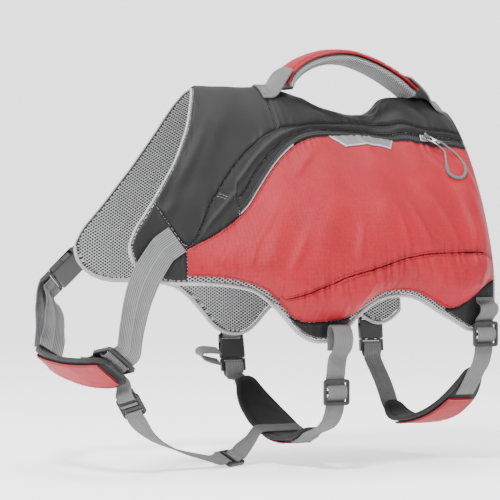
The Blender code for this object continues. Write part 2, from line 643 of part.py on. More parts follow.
def flank_grid(name, side, xs, low, high, shares, finish, inside, thick):
    """Wall over a grid of its own between two lines of the flank."""
    half = 2 * SEAM_HALF_GAP
    x = np.array(xs, float)
    bottom = np.array([low(value) for value in x])
    top = np.array([high(value) for value in x])
    bottom += half * np.hypot(1, np.gradient(bottom, x))
    top -= half * np.hypot(1, np.gradient(top, x))
    x[0] += half
    x[-1] -= half
    share = np.array(shares)
    counts = len(shares) - 1
    grid_x = np.repeat(x[:, None], counts + 1, axis=1)
    grid_g = bottom[:, None] + (top - bottom)[:, None] * share
    height = inside(grid_x, grid_g)
    inner_points = skin(grid_x, side * grid_g, height)
    outer_points = skin(grid_x, side * grid_g, height + thick)
    inner = {(i, j): inner_points[i, j] for i in range(len(x)) for j in range(counts + 1)}
    outer = {(i, j): outer_points[i, j] for i in range(len(x)) for j in range(counts + 1)}
    cells = [((i, j), (i + 1, j), (i + 1, j + 1), (i, j + 1))
             for i in range(len(x) - 1) for j in range(counts)]
    if side < 0:
        cells = [cell[::-1] for cell in cells]
    return wall(name, inner, outer, cells, finish)


def edge_line(block):
    """Girth of a block's first row, straight between the columns as its neighbours' edges are."""
    return lambda x: float(np.interp(x, COLUMNS, GIRTHS[:, BLOCK_START[block]]))


def upper_bottom(x):
    """Girth where the upper pocket panel ends: the cross seam, or the hem in front of it."""
    return edge_line(LOWER)(x) if x > LOWER_PANEL_X - 0.01 else edge_line(STRIP)(x)


def make_pockets(side, suffix):
    front = (-190, -180, -170, -160, -150, -143, -136, -129, -122, -115, -108,
             LOWER_PANEL_X - 0.5)
    back = np.linspace(LOWER_PANEL_X, REAR_X, 33)
    flank_grid("pocket_" + suffix, side, np.concatenate([front, back]),
               edge_line(UPPER), upper_bottom, POCKET_ROWS, RED, pocket_out, POCKET_WALL)
    flank_grid("pocket_lower_" + suffix, side, back,
               edge_line(LOWER), edge_line(STRIP), LOWER_ROWS, RED, pocket_out, POCKET_WALL)


def make_patch(side, suffix):
    """Trapezoid under the pocket's top edge, made from the pocket's points moved out."""
    rows = 3
    columns = 10
    inner, outer = {}, {}
    for j in range(rows + 1):
        t = j / rows
        first = PATCH_TOP[0] + (PATCH_BOTTOM[0] - PATCH_TOP[0]) * t
        last = PATCH_TOP[1] + (PATCH_BOTTOM[1] - PATCH_TOP[1]) * t
        x = np.linspace(first, last, columns + 1)
        g = smooth(x, POCKET_TOP) + PATCH_MARGIN + PATCH_HEIGHT * t
        base = pocket_out(x, g) + POCKET_WALL + TOUCH + 0.2
        low = skin(x, side * g, base)
        high = skin(x, side * g, base + PATCH_WALL)
        for i in range(columns + 1):
            inner[(i, j)] = low[i]
            outer[(i, j)] = high[i]
    cells = [((i, j), (i + 1, j), (i + 1, j + 1), (i, j + 1))
             for i in range(columns) for j in range(rows)]
    if side < 0:
        cells = [cell[::-1] for cell in cells]
    wall("patch_" + suffix, inner, outer, cells, REFLECTIVE)


def make_piping():
    """One closed cord round the neck edge, both hems and the rear edge."""
    rear = np.linspace(float(hem_line(REAR_X)) - 12, 0, 9)[:-1]
    stretch = []
    for x in np.concatenate([np.linspace(NECK_X, APEX_X, 5)[:-1], COLUMNS[:APEX][::-1]]):
        line = float(smooth(x, NECK_EDGE))
        stretch.append((x, line, PIPING_NECK_RADIUS, -1))
    for x in np.concatenate([COLUMNS[:APEX], COLUMNS[APEX:]]):
        stretch.append((x, float(hem_line(x)), PIPING_HEM_RADIUS, 1))
    half = []
    for x, g, radius, beyond in stretch:
        slope_line = NECK_EDGE if beyond < 0 else HEM
        slope = float(smooth(x + 1, slope_line) - smooth(x - 1, slope_line)) / 2
        away = (radius + TOUCH) / math.hypot(1, slope)
        half.append((x - slope * away * beyond, g + away * beyond, radius))
    half = [place for place in half if place[1] > 4]
    for g in rear:
        half.append((REAR_X + PIPING_NECK_RADIUS + TOUCH, g + 6, PIPING_NECK_RADIUS))
    left = [(x, -g, radius) for x, g, radius in half]
    neck_top = (NECK_X - PIPING_NECK_RADIUS - TOUCH, 0.0, PIPING_NECK_RADIUS)
    rear_top = (REAR_X + PIPING_NECK_RADIUS + TOUCH, 0.0, PIPING_NECK_RADIUS)
    loop = [neck_top] + half + [rear_top] + left[::-1]
    places = np.array([place[:2] for place in loop])
    points = skin(places[:, 0], places[:, 1], np.full(len(loop), PIPING_OUT))
    tube("edge_piping", points, [place[2] for place in loop], PIPING_GREY, closed=True)


def tube(name, points, radii, finish, closed=False, resolution=1):
    """Round cord along points, one radius for each."""
    data = bpy.data.curves.new(name, "CURVE")
    data.dimensions = "3D"
    data.bevel_depth = MM
    data.bevel_resolution = resolution
    data.use_fill_caps = not closed
    spline = data.splines.new("POLY")
    spline.points.add(len(points) - 1)
    for place, point, radius in zip(spline.points, points, radii):
        place.co = (*(Vector(point) * MM), 1)
        place.radius = radius
    spline.use_cyclic_u = closed
    data.materials.append(material(*finish))
    made = bpy.data.objects.new(name, data)
    JACKET.objects.link(made)
    return made


def through(rows, count):
    """Smooth curve through the rows, at count points evenly spread over its chord length."""
    rows = np.array(rows, float)
    chord = np.concatenate([[0], np.cumsum(np.linalg.norm(np.diff(rows[:, :3], axis=0), axis=1))])
    places = np.linspace(0, chord[-1], count)
    return np.stack([smooth(places, np.stack([chord, rows[:, k]], axis=1))
                     for k in range(rows.shape[1])], axis=-1)


def frames(points, across):
    """Unit width and normal directions along a path."""
    along = np.gradient(points, axis=0)
    along /= np.linalg.norm(along, axis=1, keepdims=True)
    wide = across - along * np.sum(along * across, axis=1, keepdims=True)
    wide /= np.linalg.norm(wide, axis=1, keepdims=True)
    return wide, np.cross(along, wide)


def sweep(name, points, across, profiles, finish):
    """Closed solid swept along points; profiles[i] is a ring of (width, height) places."""
    wide, normal = frames(points, across)
    ring = len(profiles[0])
    corners = []
    for point, w, n, profile in zip(points, wide, normal, profiles):
        corners += [point + w * u + n * v for u, v in profile]
    faces = []
    for i in range(len(points) - 1):
        for k in range(ring):
            a, b = i * ring + k, i * ring + (k + 1) % ring
            faces.append((a, b, b + ring, a + ring))
    last = (len(points) - 1) * ring
    faces.append(tuple(range(ring))[::-1])
    faces.append(tuple(range(last, last + ring)))
    made = new_object(name, corners, faces, finish)
    face_outwards(made)
    return made


def strap(name, rows, count, width, finish, thick=WEB_THICK, smooth_rows=True):
    """Flat webbing along rows of place and width direction."""
    data = through(rows, count) if smooth_rows else np.array(rows, float)
    half_width, half_thick = width / 2, thick / 2
    profile = ((-half_width, -half_thick), (half_width, -half_thick),
               (half_width, half_thick), (-half_width, half_thick))
    return sweep(name, data[:, :3], data[:, 3:], [profile] * len(data), finish)


def placed(location, across, along):
    """World matrix, in metres, of a piece whose X is across, Y along and Z its thickness."""
    u = Vector(along).normalized()
    a = (Vector(across) - u * Vector(across).dot(u)).normalized()
    w = a.cross(u)
    turn = Matrix((a, u, w)).transposed().to_4x4()
    return Matrix.Translation(Vector(location) * MM) @ turn


def rounded(width, length, radius, steps=3, centre=(0, 0)):
    """Outline of a rectangle with round corners."""
    outline = []
    for cx, cy, start in ((1, 1, 0), (-1, 1, 1), (-1, -1, 2), (1, -1, 3)):
        middle = (centre[0] + cx * (width / 2 - radius), centre[1] + cy * (length / 2 - radius))
        for k in range(steps + 1):
            turn = math.pi / 2 * (start + k / steps)
            outline.append((middle[0] + radius * math.cos(turn), middle[1] + radius * math.sin(turn)))
    return outline


def box_outline(width, length, centre=(0, 0)):
    """Outline of a plain rectangle."""
    x, y = width / 2, length / 2
    return [(centre[0] + u, centre[1] + v) for u, v in ((-x, -y), (x, -y), (x, y), (-x, y))]


def plate(name, outlines, thick, matrix, finish, home=None):
    """Flat plate: the first outline is its edge and the others are its holes."""
    data = bpy.data.curves.new(name, "CURVE")
    data.dimensions = "2D"
    data.fill_mode = "BOTH"
    data.extrude = thick / 2 * MM
    for outline in outlines:
        spline = data.splines.new("POLY")
        spline.points.add(len(outline) - 1)
        for place, (x, y) in zip(spline.points, outline):
            place.co = (x * MM, y * MM, 0, 1)
        spline.use_cyclic_u = True
    data.materials.append(material(*finish))
    made = bpy.data.objects.new(name, data)
    made.matrix_world = matrix
    (home or JACKET).objects.link(made)
    return made


def block(name, size, centre, matrix, finish, bevel=0.0, home=None):
    """Box with sides size and its centre off the matrix's origin, edges rounded by bevel."""
    work = bmesh.new()
    bmesh.ops.create_cube(work, size=1.0)
    bmesh.ops.scale(work, verts=work.verts, vec=Vector(size) * MM)
    bmesh.ops.translate(work, verts=work.verts, vec=Vector(centre) * MM)
    mesh = bpy.data.meshes.new(name)
    work.to_mesh(mesh)
    work.free()
    mesh.materials.append(material(*finish))
    made = bpy.data.objects.new(name, mesh)
    made.matrix_world = matrix
    (home or JACKET).objects.link(made)
    if bevel:
        rounding = made.modifiers.new("edges", "BEVEL")
        rounding.width = bevel * MM
        rounding.segments = 1
    return made


def combine(made, tool, operation):
    """Boolean with a tool that stays hidden in the cutters' collection."""
    tool.hide_render = True
    tool.display_type = "WIRE"
    step = made.modifiers.new(tool.name, "BOOLEAN")
    step.object = tool
    step.operation = operation


def cut_block(made, size, centre, matrix):
    """Box cut out of a solid, in the solid's own frame."""
    name = f"{made.name}_cutter_{len(made.modifiers)}"
    combine(made, block(name, size, centre, matrix, PLASTIC, home=CUTTERS), "DIFFERENCE")


def glide(name, centre, across, along, slots, width, length, slot_width):
    """Flat plastic slider with slots across it for webbing."""
    outlines = [rounded(width, length, 3.0)]
    for low, high in slots:
        outlines.append(box_outline(slot_width, high - low, (0, (low + high) / 2)))
    plate(name, outlines, GLIDE_THICK, placed(centre, across, along), PLASTIC)


def weave(centre, across, along, places, out=1, shift=0.0):
    """Webbing rows from places along a piece and over its middle, towards out times its Z."""
    u = Vector(along).normalized()
    a = (Vector(across) - u * Vector(across).dot(u)).normalized()
    w = a.cross(u) * out
    return [(*(Vector(centre) + u * (place + shift) + w * height), *a) for place, height in places]


def prism(name, outline, thick, matrix, finish, home=None):
    """Flat plate without holes, as a closed mesh that can be cut or joined."""
    count = len(outline)
    corners = [Vector((x, y, z)) * MM for z in (-thick / 2, thick / 2) for x, y in outline]
    faces = [tuple(range(count))[::-1], tuple(range(count, 2 * count))]
    faces += [(k, (k + 1) % count, (k + 1) % count + count, k + count) for k in range(count)]
    mesh = bpy.data.meshes.new(name)
    mesh.from_pydata(corners, [], faces)
    mesh.materials.append(material(*finish))
    made = bpy.data.objects.new(name, mesh)
    made.matrix_world = matrix
    (home or JACKET).objects.link(made)
    face_outwards(made)
    return made


def side_release_buckle(name, top, across, along, web, long):
    """Female body with a bar and side windows above, male part with two sprung arms below."""
    matrix = placed(top, across, along)
    wide = web + 7
    inner = BUCKLE_THICK - 2 * BUCKLE_WALL
    cavity = 8.5
    window = 0.36 * long
    female = block(name + "_female", (wide, long, BUCKLE_THICK), (0, long / 2, 0), matrix,
                   PLASTIC, 1.5)
    cut_block(female, (wide - 6, long, inner), (0, cavity + long / 2, 0), matrix)
    cut_block(female, (wide * 2, window, inner), (0, cavity + 1 + window / 2, 0), matrix)
    cut_block(female, (web + 1.4, 3.4, BUCKLE_THICK * 2), (0, 4.0, 0), matrix)
    for height in (-3.6, 3.6):
        cut_block(female, (wide * 2, 6.9, 4), (0, 2.45, height), matrix)
    half_cavity = wide / 2 - 3.35
    arm = half_cavity - 2.6
    low, high = cavity + 1.6, cavity + window + 0.5
    base = long + 0.4
    right = [(wide / 2, base + MALE_FOOT), (wide / 2, base), (half_cavity, base),
             (half_cavity, high), (wide / 2 - 0.4, high), (wide / 2 - 1.2, low + 2),
             (half_cavity - 0.6, low), (arm, low + 1.5), (arm, base), (3, base),
             (2.2, cavity + 2), (0, cavity + 1)]
    outline = right + [(-x, y) for x, y in right[::-1][1:]]
    male = prism(name + "_male", outline, inner - 0.8, matrix, PLASTIC)
    for centre in (3.5, 9.4):
        cut_block(male, (web + 1.4, 3.4 if centre < 5 else 2.4, inner * 2),
                  (0, base + centre, 0), matrix)


def handle_path(count):
    """Points along the top of the handle, with its width and upward directions."""
    rows = [(x, 0, z, 0, 1, 0) for x, z in HANDLE_TOP]
    data = through(rows, count)
    wide, normal = frames(data[:, :3], data[:, 3:])
    return data[:, :3], wide, normal


def make_handle():
    """Red cover over a spacer mesh pad, both swept along the arch."""
    points, wide, normal = handle_path(15)
    edge = np.linspace(-1, 1, 5)
    crown = 3.0
    top = [(u * HANDLE_WIDTH / 2, -crown * u * u) for u in edge]
    under = [(u * (HANDLE_WIDTH / 2 + 0.4), -crown * u * u - HANDLE_COVER_WALL) for u in edge]
    sweep("handle_cover", points, wide, [top + under[::-1]] * len(points), RED)
    low = HANDLE_COVER_WALL + TOUCH
    pad_top = [(u * (HANDLE_WIDTH / 2 - 0.6), -crown * u * u - low) for u in edge]
    pad_low = [(u * (HANDLE_WIDTH / 2 - 5), -low - HANDLE_PAD_THICK + 1.2 * u * u)
               for u in (-1, 0, 1)]
    waist = -low - HANDLE_PAD_THICK * 0.62
    belly = ([(HANDLE_WIDTH / 2 - 0.8, waist)] + pad_low[::-1] + [(-HANDLE_WIDTH / 2 + 0.8, waist)])
    sweep("handle_pad", points, wide, [pad_top + belly] * len(points), MESH_GREY)
    path, _, up = handle_path(41)
    sew_handle_web("handle_web_front", (-84, -79, -74),
                   ((-68.5, 29.3, 0.9), (-63, 33.5, 0.6)),
                   [path[k] + up[k] * TOUCH * 1.5 for k in (2, 3, 4)])
    sew_handle_web("handle_web_rear", (115, 111, 107),
                   ((102.5, 23.0, 0.8), (98.5, 28.0, 0.5)),
                   [path[k] + up[k] * TOUCH * 1.5 for k in (39, 38, 36)])


def sew_handle_web(name, skin_xs, free_rows, cover_points):
    """Wide webbing sewn flat on the back, rising to lie on an end of the handle."""
    girths = np.linspace(-1, 1, 5) * HANDLE_WEB * 0.57
    above = level(PANEL_OUT + TOUCH + 0.4, TOP_FOLDS)
    inner = [skin(np.full(5, float(x)), girths, above(x, np.abs(girths))) for x in skin_xs]
    base = inner[-1]
    drop = base[2, 2] - base[:, 2]
    lay = [(x, z, droop) for x, z, droop in free_rows]
    lay += [(point[0], point[2], 0.27) for point in cover_points]
    for x, z, droop in lay:
        row = base.copy()
        row[:, 0] = x
        row[:, 2] = z - droop * drop
        inner.append(row)
    inner = np.array(inner)
    _, up = frames(inner[:, 2], np.array([(0.0, 1.0, 0.0)] * len(inner)))
    up *= np.sign(up[:, 2:3])
    outer = inner + up[:, None, :] * WEB_THICK
    keys = [(i, j) for i in range(len(inner)) for j in range(5)]
    cells = [((i, j), (i + 1, j), (i + 1, j + 1), (i, j + 1))
             for i in range(len(inner) - 1) for j in range(4)]
    wall(name, {key: inner[key] for key in keys}, {key: outer[key] for key in keys}, cells,
         WEB_GREY)


def pad_path(pad, count):
    """Centre line of a band's pad with its width and outward directions."""
    data = through(pad["rows"], count)
    wide, normal = frames(data[:, :3], data[:, 3:])
    return data[:, :3], wide, normal


def pad_half_width(pad, share):
    """Half the pad's width: round at both ends, or as its own widths say."""
    return np.interp(share, *np.array(pad["half_widths"], float).T)


def make_pad(name, pad):
    """Padded leaf with a bound edge, and a red cover on the face away from the dog."""
    points, wide, normal = pad_path(pad, PAD_ROWS)
    shares = np.linspace(0, 1, PAD_ROWS)
    profiles = []
    for share in shares:
        half = float(pad_half_width(pad, share))
        flat = max(half - PAD_BINDING, half * 0.4)
        profiles.append(((-half, -1.4), (-flat, -2.6), (0, -3.0), (flat, -2.6), (half, -1.4),
                         (half, 1.4), (flat, 2.6), (0, 3.0), (-flat, 2.6), (-half, 1.4)))
    sweep(name + "_body", points, wide, profiles, FOAM_BLACK)
    cover = []
    first, last = pad["cover"]
    places = [first, *(share for share in shares if first + 0.01 < share < last - 0.01), last]
    path, path_wide, path_normal = (
        np.stack([np.interp(places, shares, part[:, k]) for k in range(3)], axis=-1)
        for part in (points, wide, normal))
    for share in places:
        half = float(pad_half_width(pad, share))
        flat = max(half - PAD_BINDING, half * 0.4)
        low, high = 3.0 + TOUCH + 0.15, 3.0 + TOUCH + 0.15 + PANEL_WALL
        cover.append(((-flat, low), (0, low), (flat, low), (flat, high - 0.5), (0, high + 0.3),
                      (-flat, high - 0.5)))
    corners = []
    for point, w, n, profile in zip(path, path_wide, path_normal, cover):
        corners += [point + w * u + n * v for u, v in profile]
    ring = len(cover[0])
    faces = [(i * ring + k, i * ring + (k + 1) % ring, (i + 1) * ring + (k + 1) % ring,
              (i + 1) * ring + k) for i in range(len(cover) - 1) for k in range(ring)]
    end = (len(cover) - 1) * ring
    faces += [tuple(range(ring))[::-1], tuple(range(end, end + ring))]
    face_outwards(new_object(name + "_cover", corners, faces, RED))


def on_pad_at(pad, share, sideways, depth):
    """Point at a share of a pad's length, sideways over it, at a depth from its middle plane."""
    place = share * (PAD_ROWS - 1)
    point, w, n = (np.array([np.interp(place, range(PAD_ROWS), values[:, k]) for k in range(3)])
                   for values in pad_path(pad, PAD_ROWS))
    return point + w * sideways + n * depth


def pad_rows(pad, shares, sideways, depth):
    """Rows for webbing that lies along a pad, as wide as the pad's own width direction."""
    return [(*on_pad_at(pad, share, sideways, depth),
             *(on_pad_at(pad, share, 1, 0) - on_pad_at(pad, share, 0, 0))) for share in shares]


def on_skin(places, side, out, lean):
    """Rows for webbing sewn on a flank; its width runs square to the lean (x, g)."""
    rows = []
    for x, g in places:
        centre = skin(float(x), side * float(g), out)
        end = skin(float(x) + lean[1], side * (float(g) - lean[0]), out)
        rows.append((*centre, *(end - centre)))
    return rows


def make_belly_band(name, pad, loop, glide_centre, fall, far, anchor, buckle, buckle_down):
    """One belly band: near webbing with its glide, the pad, far webbing and the buckle."""
    across, down = (-1, 0, 0), (0, 0, -1)
    glide(name + "_glide", glide_centre, across, down, GLIDE_SLOTS, GLIDE_WIDTH, GLIDE_LENGTH,
          BELLY_WEB + 1.4)
    near = list(through([(*place, *across) for place in loop], 18))
    near += weave(glide_centre, across, down, GLIDE_WEAVE)
    sewn = [(*on_pad_at(pad, k / (PAD_ROWS - 1), 0, PAD_FACE), *across) for k in (0, 1, 2, 2.5)]
    near += list(through([(*place, *across) for place in fall] + sewn[:1], 6)) + sewn[1:]
    strap(name + "_web_near", near, 0, BELLY_WEB, WEB_GREY, smooth_rows=False)
    make_pad(name + "_pad", pad)
    across = (1, 0, 0)
    base = BELLY_FEMALE + 0.4
    rows = [(*on_pad_at(pad, 1 - k / (PAD_ROWS - 1), 0, PAD_FACE), *across) for k in (2, 1, 0)]
    rows += list(through(rows[-1:] + list(far), 5))[1:]
    rows += weave(buckle, across, buckle_down, MALE_FOLD, shift=base)
    strap(name + "_web_far", rows, 0, BELLY_WEB, WEB_GREY, smooth_rows=False)
    side_release_buckle(name + "_buckle", buckle, across, buckle_down, BELLY_WEB, BELLY_FEMALE)
    out = PANEL_OUT + TOUCH + WEB_THICK / 2 + 0.6
    rows = [(*skin(float(x), float(g), out), *across) for x, g in anchor]
    rows += weave(buckle, across, buckle_down, FEMALE_FOLD)
    strap(name + "_web_buckle", rows, 0, BELLY_WEB, WEB_GREY, smooth_rows=False)


def make_chest_band():
    """Ribbed elastic down both sides of the chest, with an adjuster, a pad and a buckle."""
    out = PANEL_OUT + TOUCH + WEB_THICK / 2 + 0.9
    rows = on_skin(CHEST_SEWN, -1, out, CHEST_LEAN)
    free = list(through(rows[-1:] + list(CHEST_FREE), 9))[1:]
    rows += free + weave(ADJUSTER, ADJUSTER_ACROSS, ADJUSTER_ALONG, GLIDE_WEAVE, -1)
    rows += pad_rows(CHEST_PAD, ADJUSTER_SEWN, ADJUSTER_SHIFT, -PAD_FACE - 0.5)
    strap("chest_web_near", rows, 0, CHEST_WEB, ELASTIC_GREY, smooth_rows=False)
    glide("chest_adjuster", ADJUSTER, ADJUSTER_ACROSS, ADJUSTER_ALONG, GLIDE_SLOTS,
          CHEST_WEB + 7, GLIDE_LENGTH, CHEST_WEB + 1.4)
    make_pad("chest_pad", CHEST_PAD)
    rows = pad_rows(CHEST_PAD, (13 / 14, 1.0), 0, -PAD_FACE)
    rows += list(through(rows[-1:] + list(CHEST_RISE), 7))[1:]
    rows += weave(CHEST_BUCKLE, CHEST_BUCKLE_ACROSS, CHEST_BUCKLE_DOWN, CHEST_TAIL_SLOT)
    tail = list(CHEST_TAIL) + pad_rows(CHEST_PAD, (1.0,), 0, PAD_FACE + 1.2)
    rows += list(through(tail, 6))
    strap("chest_web_far", rows, 0, CHEST_WEB, ELASTIC_GREY, smooth_rows=False)
    side_release_buckle("chest_buckle", CHEST_BUCKLE, CHEST_BUCKLE_ACROSS, CHEST_BUCKLE_DOWN,
                        CHEST_WEB, CHEST_FEMALE)
    rows = on_skin(CHEST_SEWN, 1, out, CHEST_LEAN)
    rows += weave(CHEST_BUCKLE, CHEST_BUCKLE_ACROSS, CHEST_BUCKLE_DOWN, FEMALE_FOLD)
    strap("chest_web_buckle", rows, 0, CHEST_WEB, ELASTIC_GREY, smooth_rows=False)


def make_link():
    """Narrow webbing between the chest pad and the front belly pad."""
    lock_slot = LINK_WEB + 1.4
    glide("link_lock", LOCK, LOCK_ACROSS, LOCK_DOWN, LOCK_SLOTS, LINK_WEB + 6, 22.0, lock_slot)
    sewn = [(*on_pad_at(CHEST_PAD, 0.1, sideways, depth), 0.42, -0.85, 0.25)
            for sideways, depth in ((16, -PAD_FACE - 0.8), (21.5, -PAD_FACE - 0.8), (26, -2.6))]
    rows = sewn + weave(LOCK, LOCK_ACROSS, LOCK_DOWN, LOCK_FOLD)
    strap("link_web_top", rows, 0, LINK_WEB, WEB_GREY, smooth_rows=False)
    rows = weave(LOCK, LOCK_ACROSS, LOCK_DOWN, LOCK_WEAVE)
    rows += list(through(LINK_FRONT, 9))
    rows += weave(LINK_GLIDE, LINK_GLIDE_ACROSS, LINK_GLIDE_ALONG, GLIDE_WEAVE, -1)
    on_belly = [(*on_pad_at(FRONT_PAD, 0.42, sideways, -PAD_FACE), 0, -0.963, -0.27)
                for sideways in LINK_SEWN]
    rows += list(LINK_REAR) + on_belly
    strap("link_web", rows, 0, LINK_WEB, WEB_GREY, smooth_rows=False)
    glide("link_glide", LINK_GLIDE, LINK_GLIDE_ACROSS, LINK_GLIDE_ALONG, GLIDE_SLOTS, LINK_WEB + 6,
          GLIDE_LENGTH, lock_slot)


def make_zip_pull(side, suffix):
    """Zip slider with a bridge, its pull tab, and the cord loop through the tab's hole."""
    x, g = PULL_PLACE
    floor = PANEL_OUT - 0.5 + TOUCH + 0.15
    centre = Vector(skin(x, side * g, floor))
    out = (Vector(skin(x, side * g, floor + 1)) - centre).normalized()
    along_zip = (Vector(skin(x + 1, side * g, floor)) - centre).normalized()
    down = (Vector(skin(x, side * (g + 1), floor)) - centre).normalized()
    slider = block("slider_" + suffix, (7.6, 11, 1.8), (0, 0, 0.9),
                   placed(centre, along_zip.cross(out), along_zip), STEEL, 0.5)
    tab = (along_zip + down).normalized()
    bridge = [(-3.2, 1.2), (3.2, 1.2), (3.2, 6.2), (-3.2, 6.2)]
    inside = [(-2.0, 1.2), (-2.0, 4.8), (2.0, 4.8), (2.0, 1.2)]
    arch = [bridge[0], *inside, *bridge[1:]]
    combine(slider, prism(f"slider_{suffix}_bridge", arch, 2.4, placed(centre, tab, out), STEEL,
                          CUTTERS), "UNION")
    pin = centre + out * 3.3
    lean = tab * math.cos(PULL_TILT) + out * math.sin(PULL_TILT)
    lift = out * math.cos(PULL_TILT) - tab * math.sin(PULL_TILT)
    across = lean.cross(lift)
    hole = [(1.5 * math.cos(k * math.pi / 4), 11.6 + 1.5 * math.sin(k * math.pi / 4))
            for k in range(8)]
    plate("pull_tab_" + suffix, [rounded(6, 15.7, 1.5, 3, (0, 7.15)),
                                 box_outline(3.8, 6.3, (0, 3.85)), hole],
          1.4, placed(pin, across, lean), STEEL)
    right = across if across.dot(along_zip - down) > 0 else -across
    first = [(0, 11.6, -1.0), (0, 11.6, 1.0), (0.3, 13.0, 2.3), (1.0, 15.6, 2.6)]
    last = [(-0.9, 16.4, -1.9), (-0.3, 13.7, -2.4)]
    points = [pin + right * a + lean * s + lift * w for a, s, w in first]
    for place_x, place_g, height in PULL_LOOP:
        base = float(pocket_out(place_x, place_g)) + POCKET_WALL + TOUCH + CORD_RADIUS + 0.2
        points.append(Vector(skin(place_x, side * place_g, base + height)))
    points += [pin + right * a + lean * s + lift * w for a, s, w in last]
    tube("pull_cord_" + suffix, points, [CORD_RADIUS] * len(points), CORD_GREY, True, 2)


def main():
    make_lining()
    make_yoke()
    make_top_panel()
    make_piping()
    for side, suffix in ((-1, "L"), (1, "R")):
        make_side_panels(side, suffix)
        make_pockets(side, suffix)
        make_patch(side, suffix)
        make_zip_pull(side, suffix)
    make_handle()
    make_belly_band("belly_front", FRONT_PAD, FRONT_LOOP, FRONT_GLIDE, FRONT_FALL, FRONT_FAR,
                    FRONT_ANCHOR, FRONT_BUCKLE, FRONT_BUCKLE_DOWN)
    strap("belly_front_tail", FRONT_TAIL, 12, BELLY_WEB, WEB_GREY)
    make_belly_band("belly_rear", REAR_PAD, REAR_LOOP, REAR_GLIDE, REAR_FALL, REAR_FAR,
                    REAR_ANCHOR, REAR_BUCKLE, REAR_BUCKLE_DOWN)
    make_chest_band()
    make_link()


for old in list(bpy.data.objects):
    bpy.data.objects.remove(old, do_unlink=True)
JACKET = bpy.data.collections.new("dog_life_jacket")
bpy.context.scene.collection.children.link(JACKET)
CUTTERS = bpy.data.collections.new("cutters")
bpy.context.scene.collection.children.link(CUTTERS)
main()
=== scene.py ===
"""Dog life jacket, dressed: cloth, stitching, padding and webbing over its fixed frame.

The sections follow the jacket as it is sewn, from the lining outwards to the straps. Sizes are in
millimetres, as on a cutting table, and each maker turns them into metres. A place on the cloth is
(x, g): x runs to the tail, and g is the girth measured from the ridge, below zero on the left.
"""
import math

import bpy
import numpy as np
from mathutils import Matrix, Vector


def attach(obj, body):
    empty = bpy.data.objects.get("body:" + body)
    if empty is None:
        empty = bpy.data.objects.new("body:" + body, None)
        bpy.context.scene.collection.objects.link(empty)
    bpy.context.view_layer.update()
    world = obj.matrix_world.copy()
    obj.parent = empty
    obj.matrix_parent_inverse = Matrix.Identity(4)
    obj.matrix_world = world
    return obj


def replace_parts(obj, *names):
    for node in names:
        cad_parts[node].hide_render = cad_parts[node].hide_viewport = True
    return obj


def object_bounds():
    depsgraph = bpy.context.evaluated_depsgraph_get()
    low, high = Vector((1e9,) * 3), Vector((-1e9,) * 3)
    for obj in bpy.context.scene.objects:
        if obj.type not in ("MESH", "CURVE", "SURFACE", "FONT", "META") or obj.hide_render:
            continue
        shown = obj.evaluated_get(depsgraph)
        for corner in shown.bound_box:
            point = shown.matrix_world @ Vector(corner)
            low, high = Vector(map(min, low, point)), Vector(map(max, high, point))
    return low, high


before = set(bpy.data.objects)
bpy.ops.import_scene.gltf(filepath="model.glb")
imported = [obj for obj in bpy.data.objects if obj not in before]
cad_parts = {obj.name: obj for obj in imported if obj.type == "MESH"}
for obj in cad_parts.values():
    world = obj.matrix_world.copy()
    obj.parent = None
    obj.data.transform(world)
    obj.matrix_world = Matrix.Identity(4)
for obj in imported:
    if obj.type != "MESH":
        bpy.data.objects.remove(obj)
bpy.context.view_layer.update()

# Hollow form
# The jacket keeps the shape of the body that it is worn on: a saddle whose section is widest low
# on the flanks, with a ridge that dips under the handle. All the cloth is laid over this form.
MM = 0.001
SECTIONS = (
    (-262, 68, 165),
    (-247, 70, 168),
    (-214, 72, 172),
    (-183, 79, 175),
    (-160, 85, 176),
    (-110, 94, 176),
    (-60, 99, 176),
    (0, 100, 172),
    (60, 99, 170),
    (110, 97, 168),
    (140, 95, 168),
)
SECTION_POWER = 1.45
TUCK_IN = 0.0006
RIDGE = (
    (-262, 18), (-200, 20), (-165, 21), (-150, 21.5), (-100, 21.5), (-66, 21.5), (-40, 14),
    (-15, 4), (0, 0), (20, -3), (36, -3), (50, 3), (62, 13), (85, 15.5), (100, 14.5),
    (116, 10), (130, 1.5), (142, -7),
)
RIDGE_START = 20.0
RIDGE_FALL = 20.0 / 300.0
RIDGE_START_X = -165.0
DIP_REACH = 70.0
NECK_EDGE = (
    (-243, 171.5), (-241, 167), (-236, 157), (-228, 146), (-216, 129.5), (-204, 112), (-190, 91),
    (-180, 72.5), (-170, 52), (-160, 26), (-150, 0),
)
HEM = (
    (-243, 177), (-241, 184), (-236, 191.5), (-228, 197.5), (-216, 202), (-204, 204.5),
    (-190, 205.5), (-165, 207.5), (-145, 210.5), (-122, 218), (-108, 229), (-94, 243.5),
    (-84, 254.5), (-72, 262), (-59, 264), (-46, 261), (-36, 253), (-24, 240), (-11, 229),
    (3, 221), (18, 217), (41, 217.5), (70, 230), (86, 237), (104, 244.5), (113, 243),
    (124, 235.5), (130, 229.5),
)


def smooth(value, rows):
    """Cubic curve through the rows, read at value; it runs on straight past both ends."""
    knots, heights = np.array(rows, float).T[:2]
    slopes = np.gradient(heights, knots)
    value = np.asarray(value, float)
    i = np.clip(np.searchsorted(knots, value) - 1, 0, len(knots) - 2)
    step = knots[i + 1] - knots[i]
    t = np.clip((value - knots[i]) / step, 0, 1)
    curve = ((2 * t**3 - 3 * t**2 + 1) * heights[i] + (t**3 - 2 * t**2 + t) * step * slopes[i]
             + (3 * t**2 - 2 * t**3) * heights[i + 1] + (t**3 - t**2) * step * slopes[i + 1])
    past = value - np.clip(value, knots[0], knots[-1])
    return curve + past * np.where(past < 0, slopes[0], slopes[-1])


def run_along(points):
    """Way along a path from its start to each of its points."""
    return np.concatenate([[0], np.cumsum(np.linalg.norm(np.diff(points, axis=0), axis=1))])


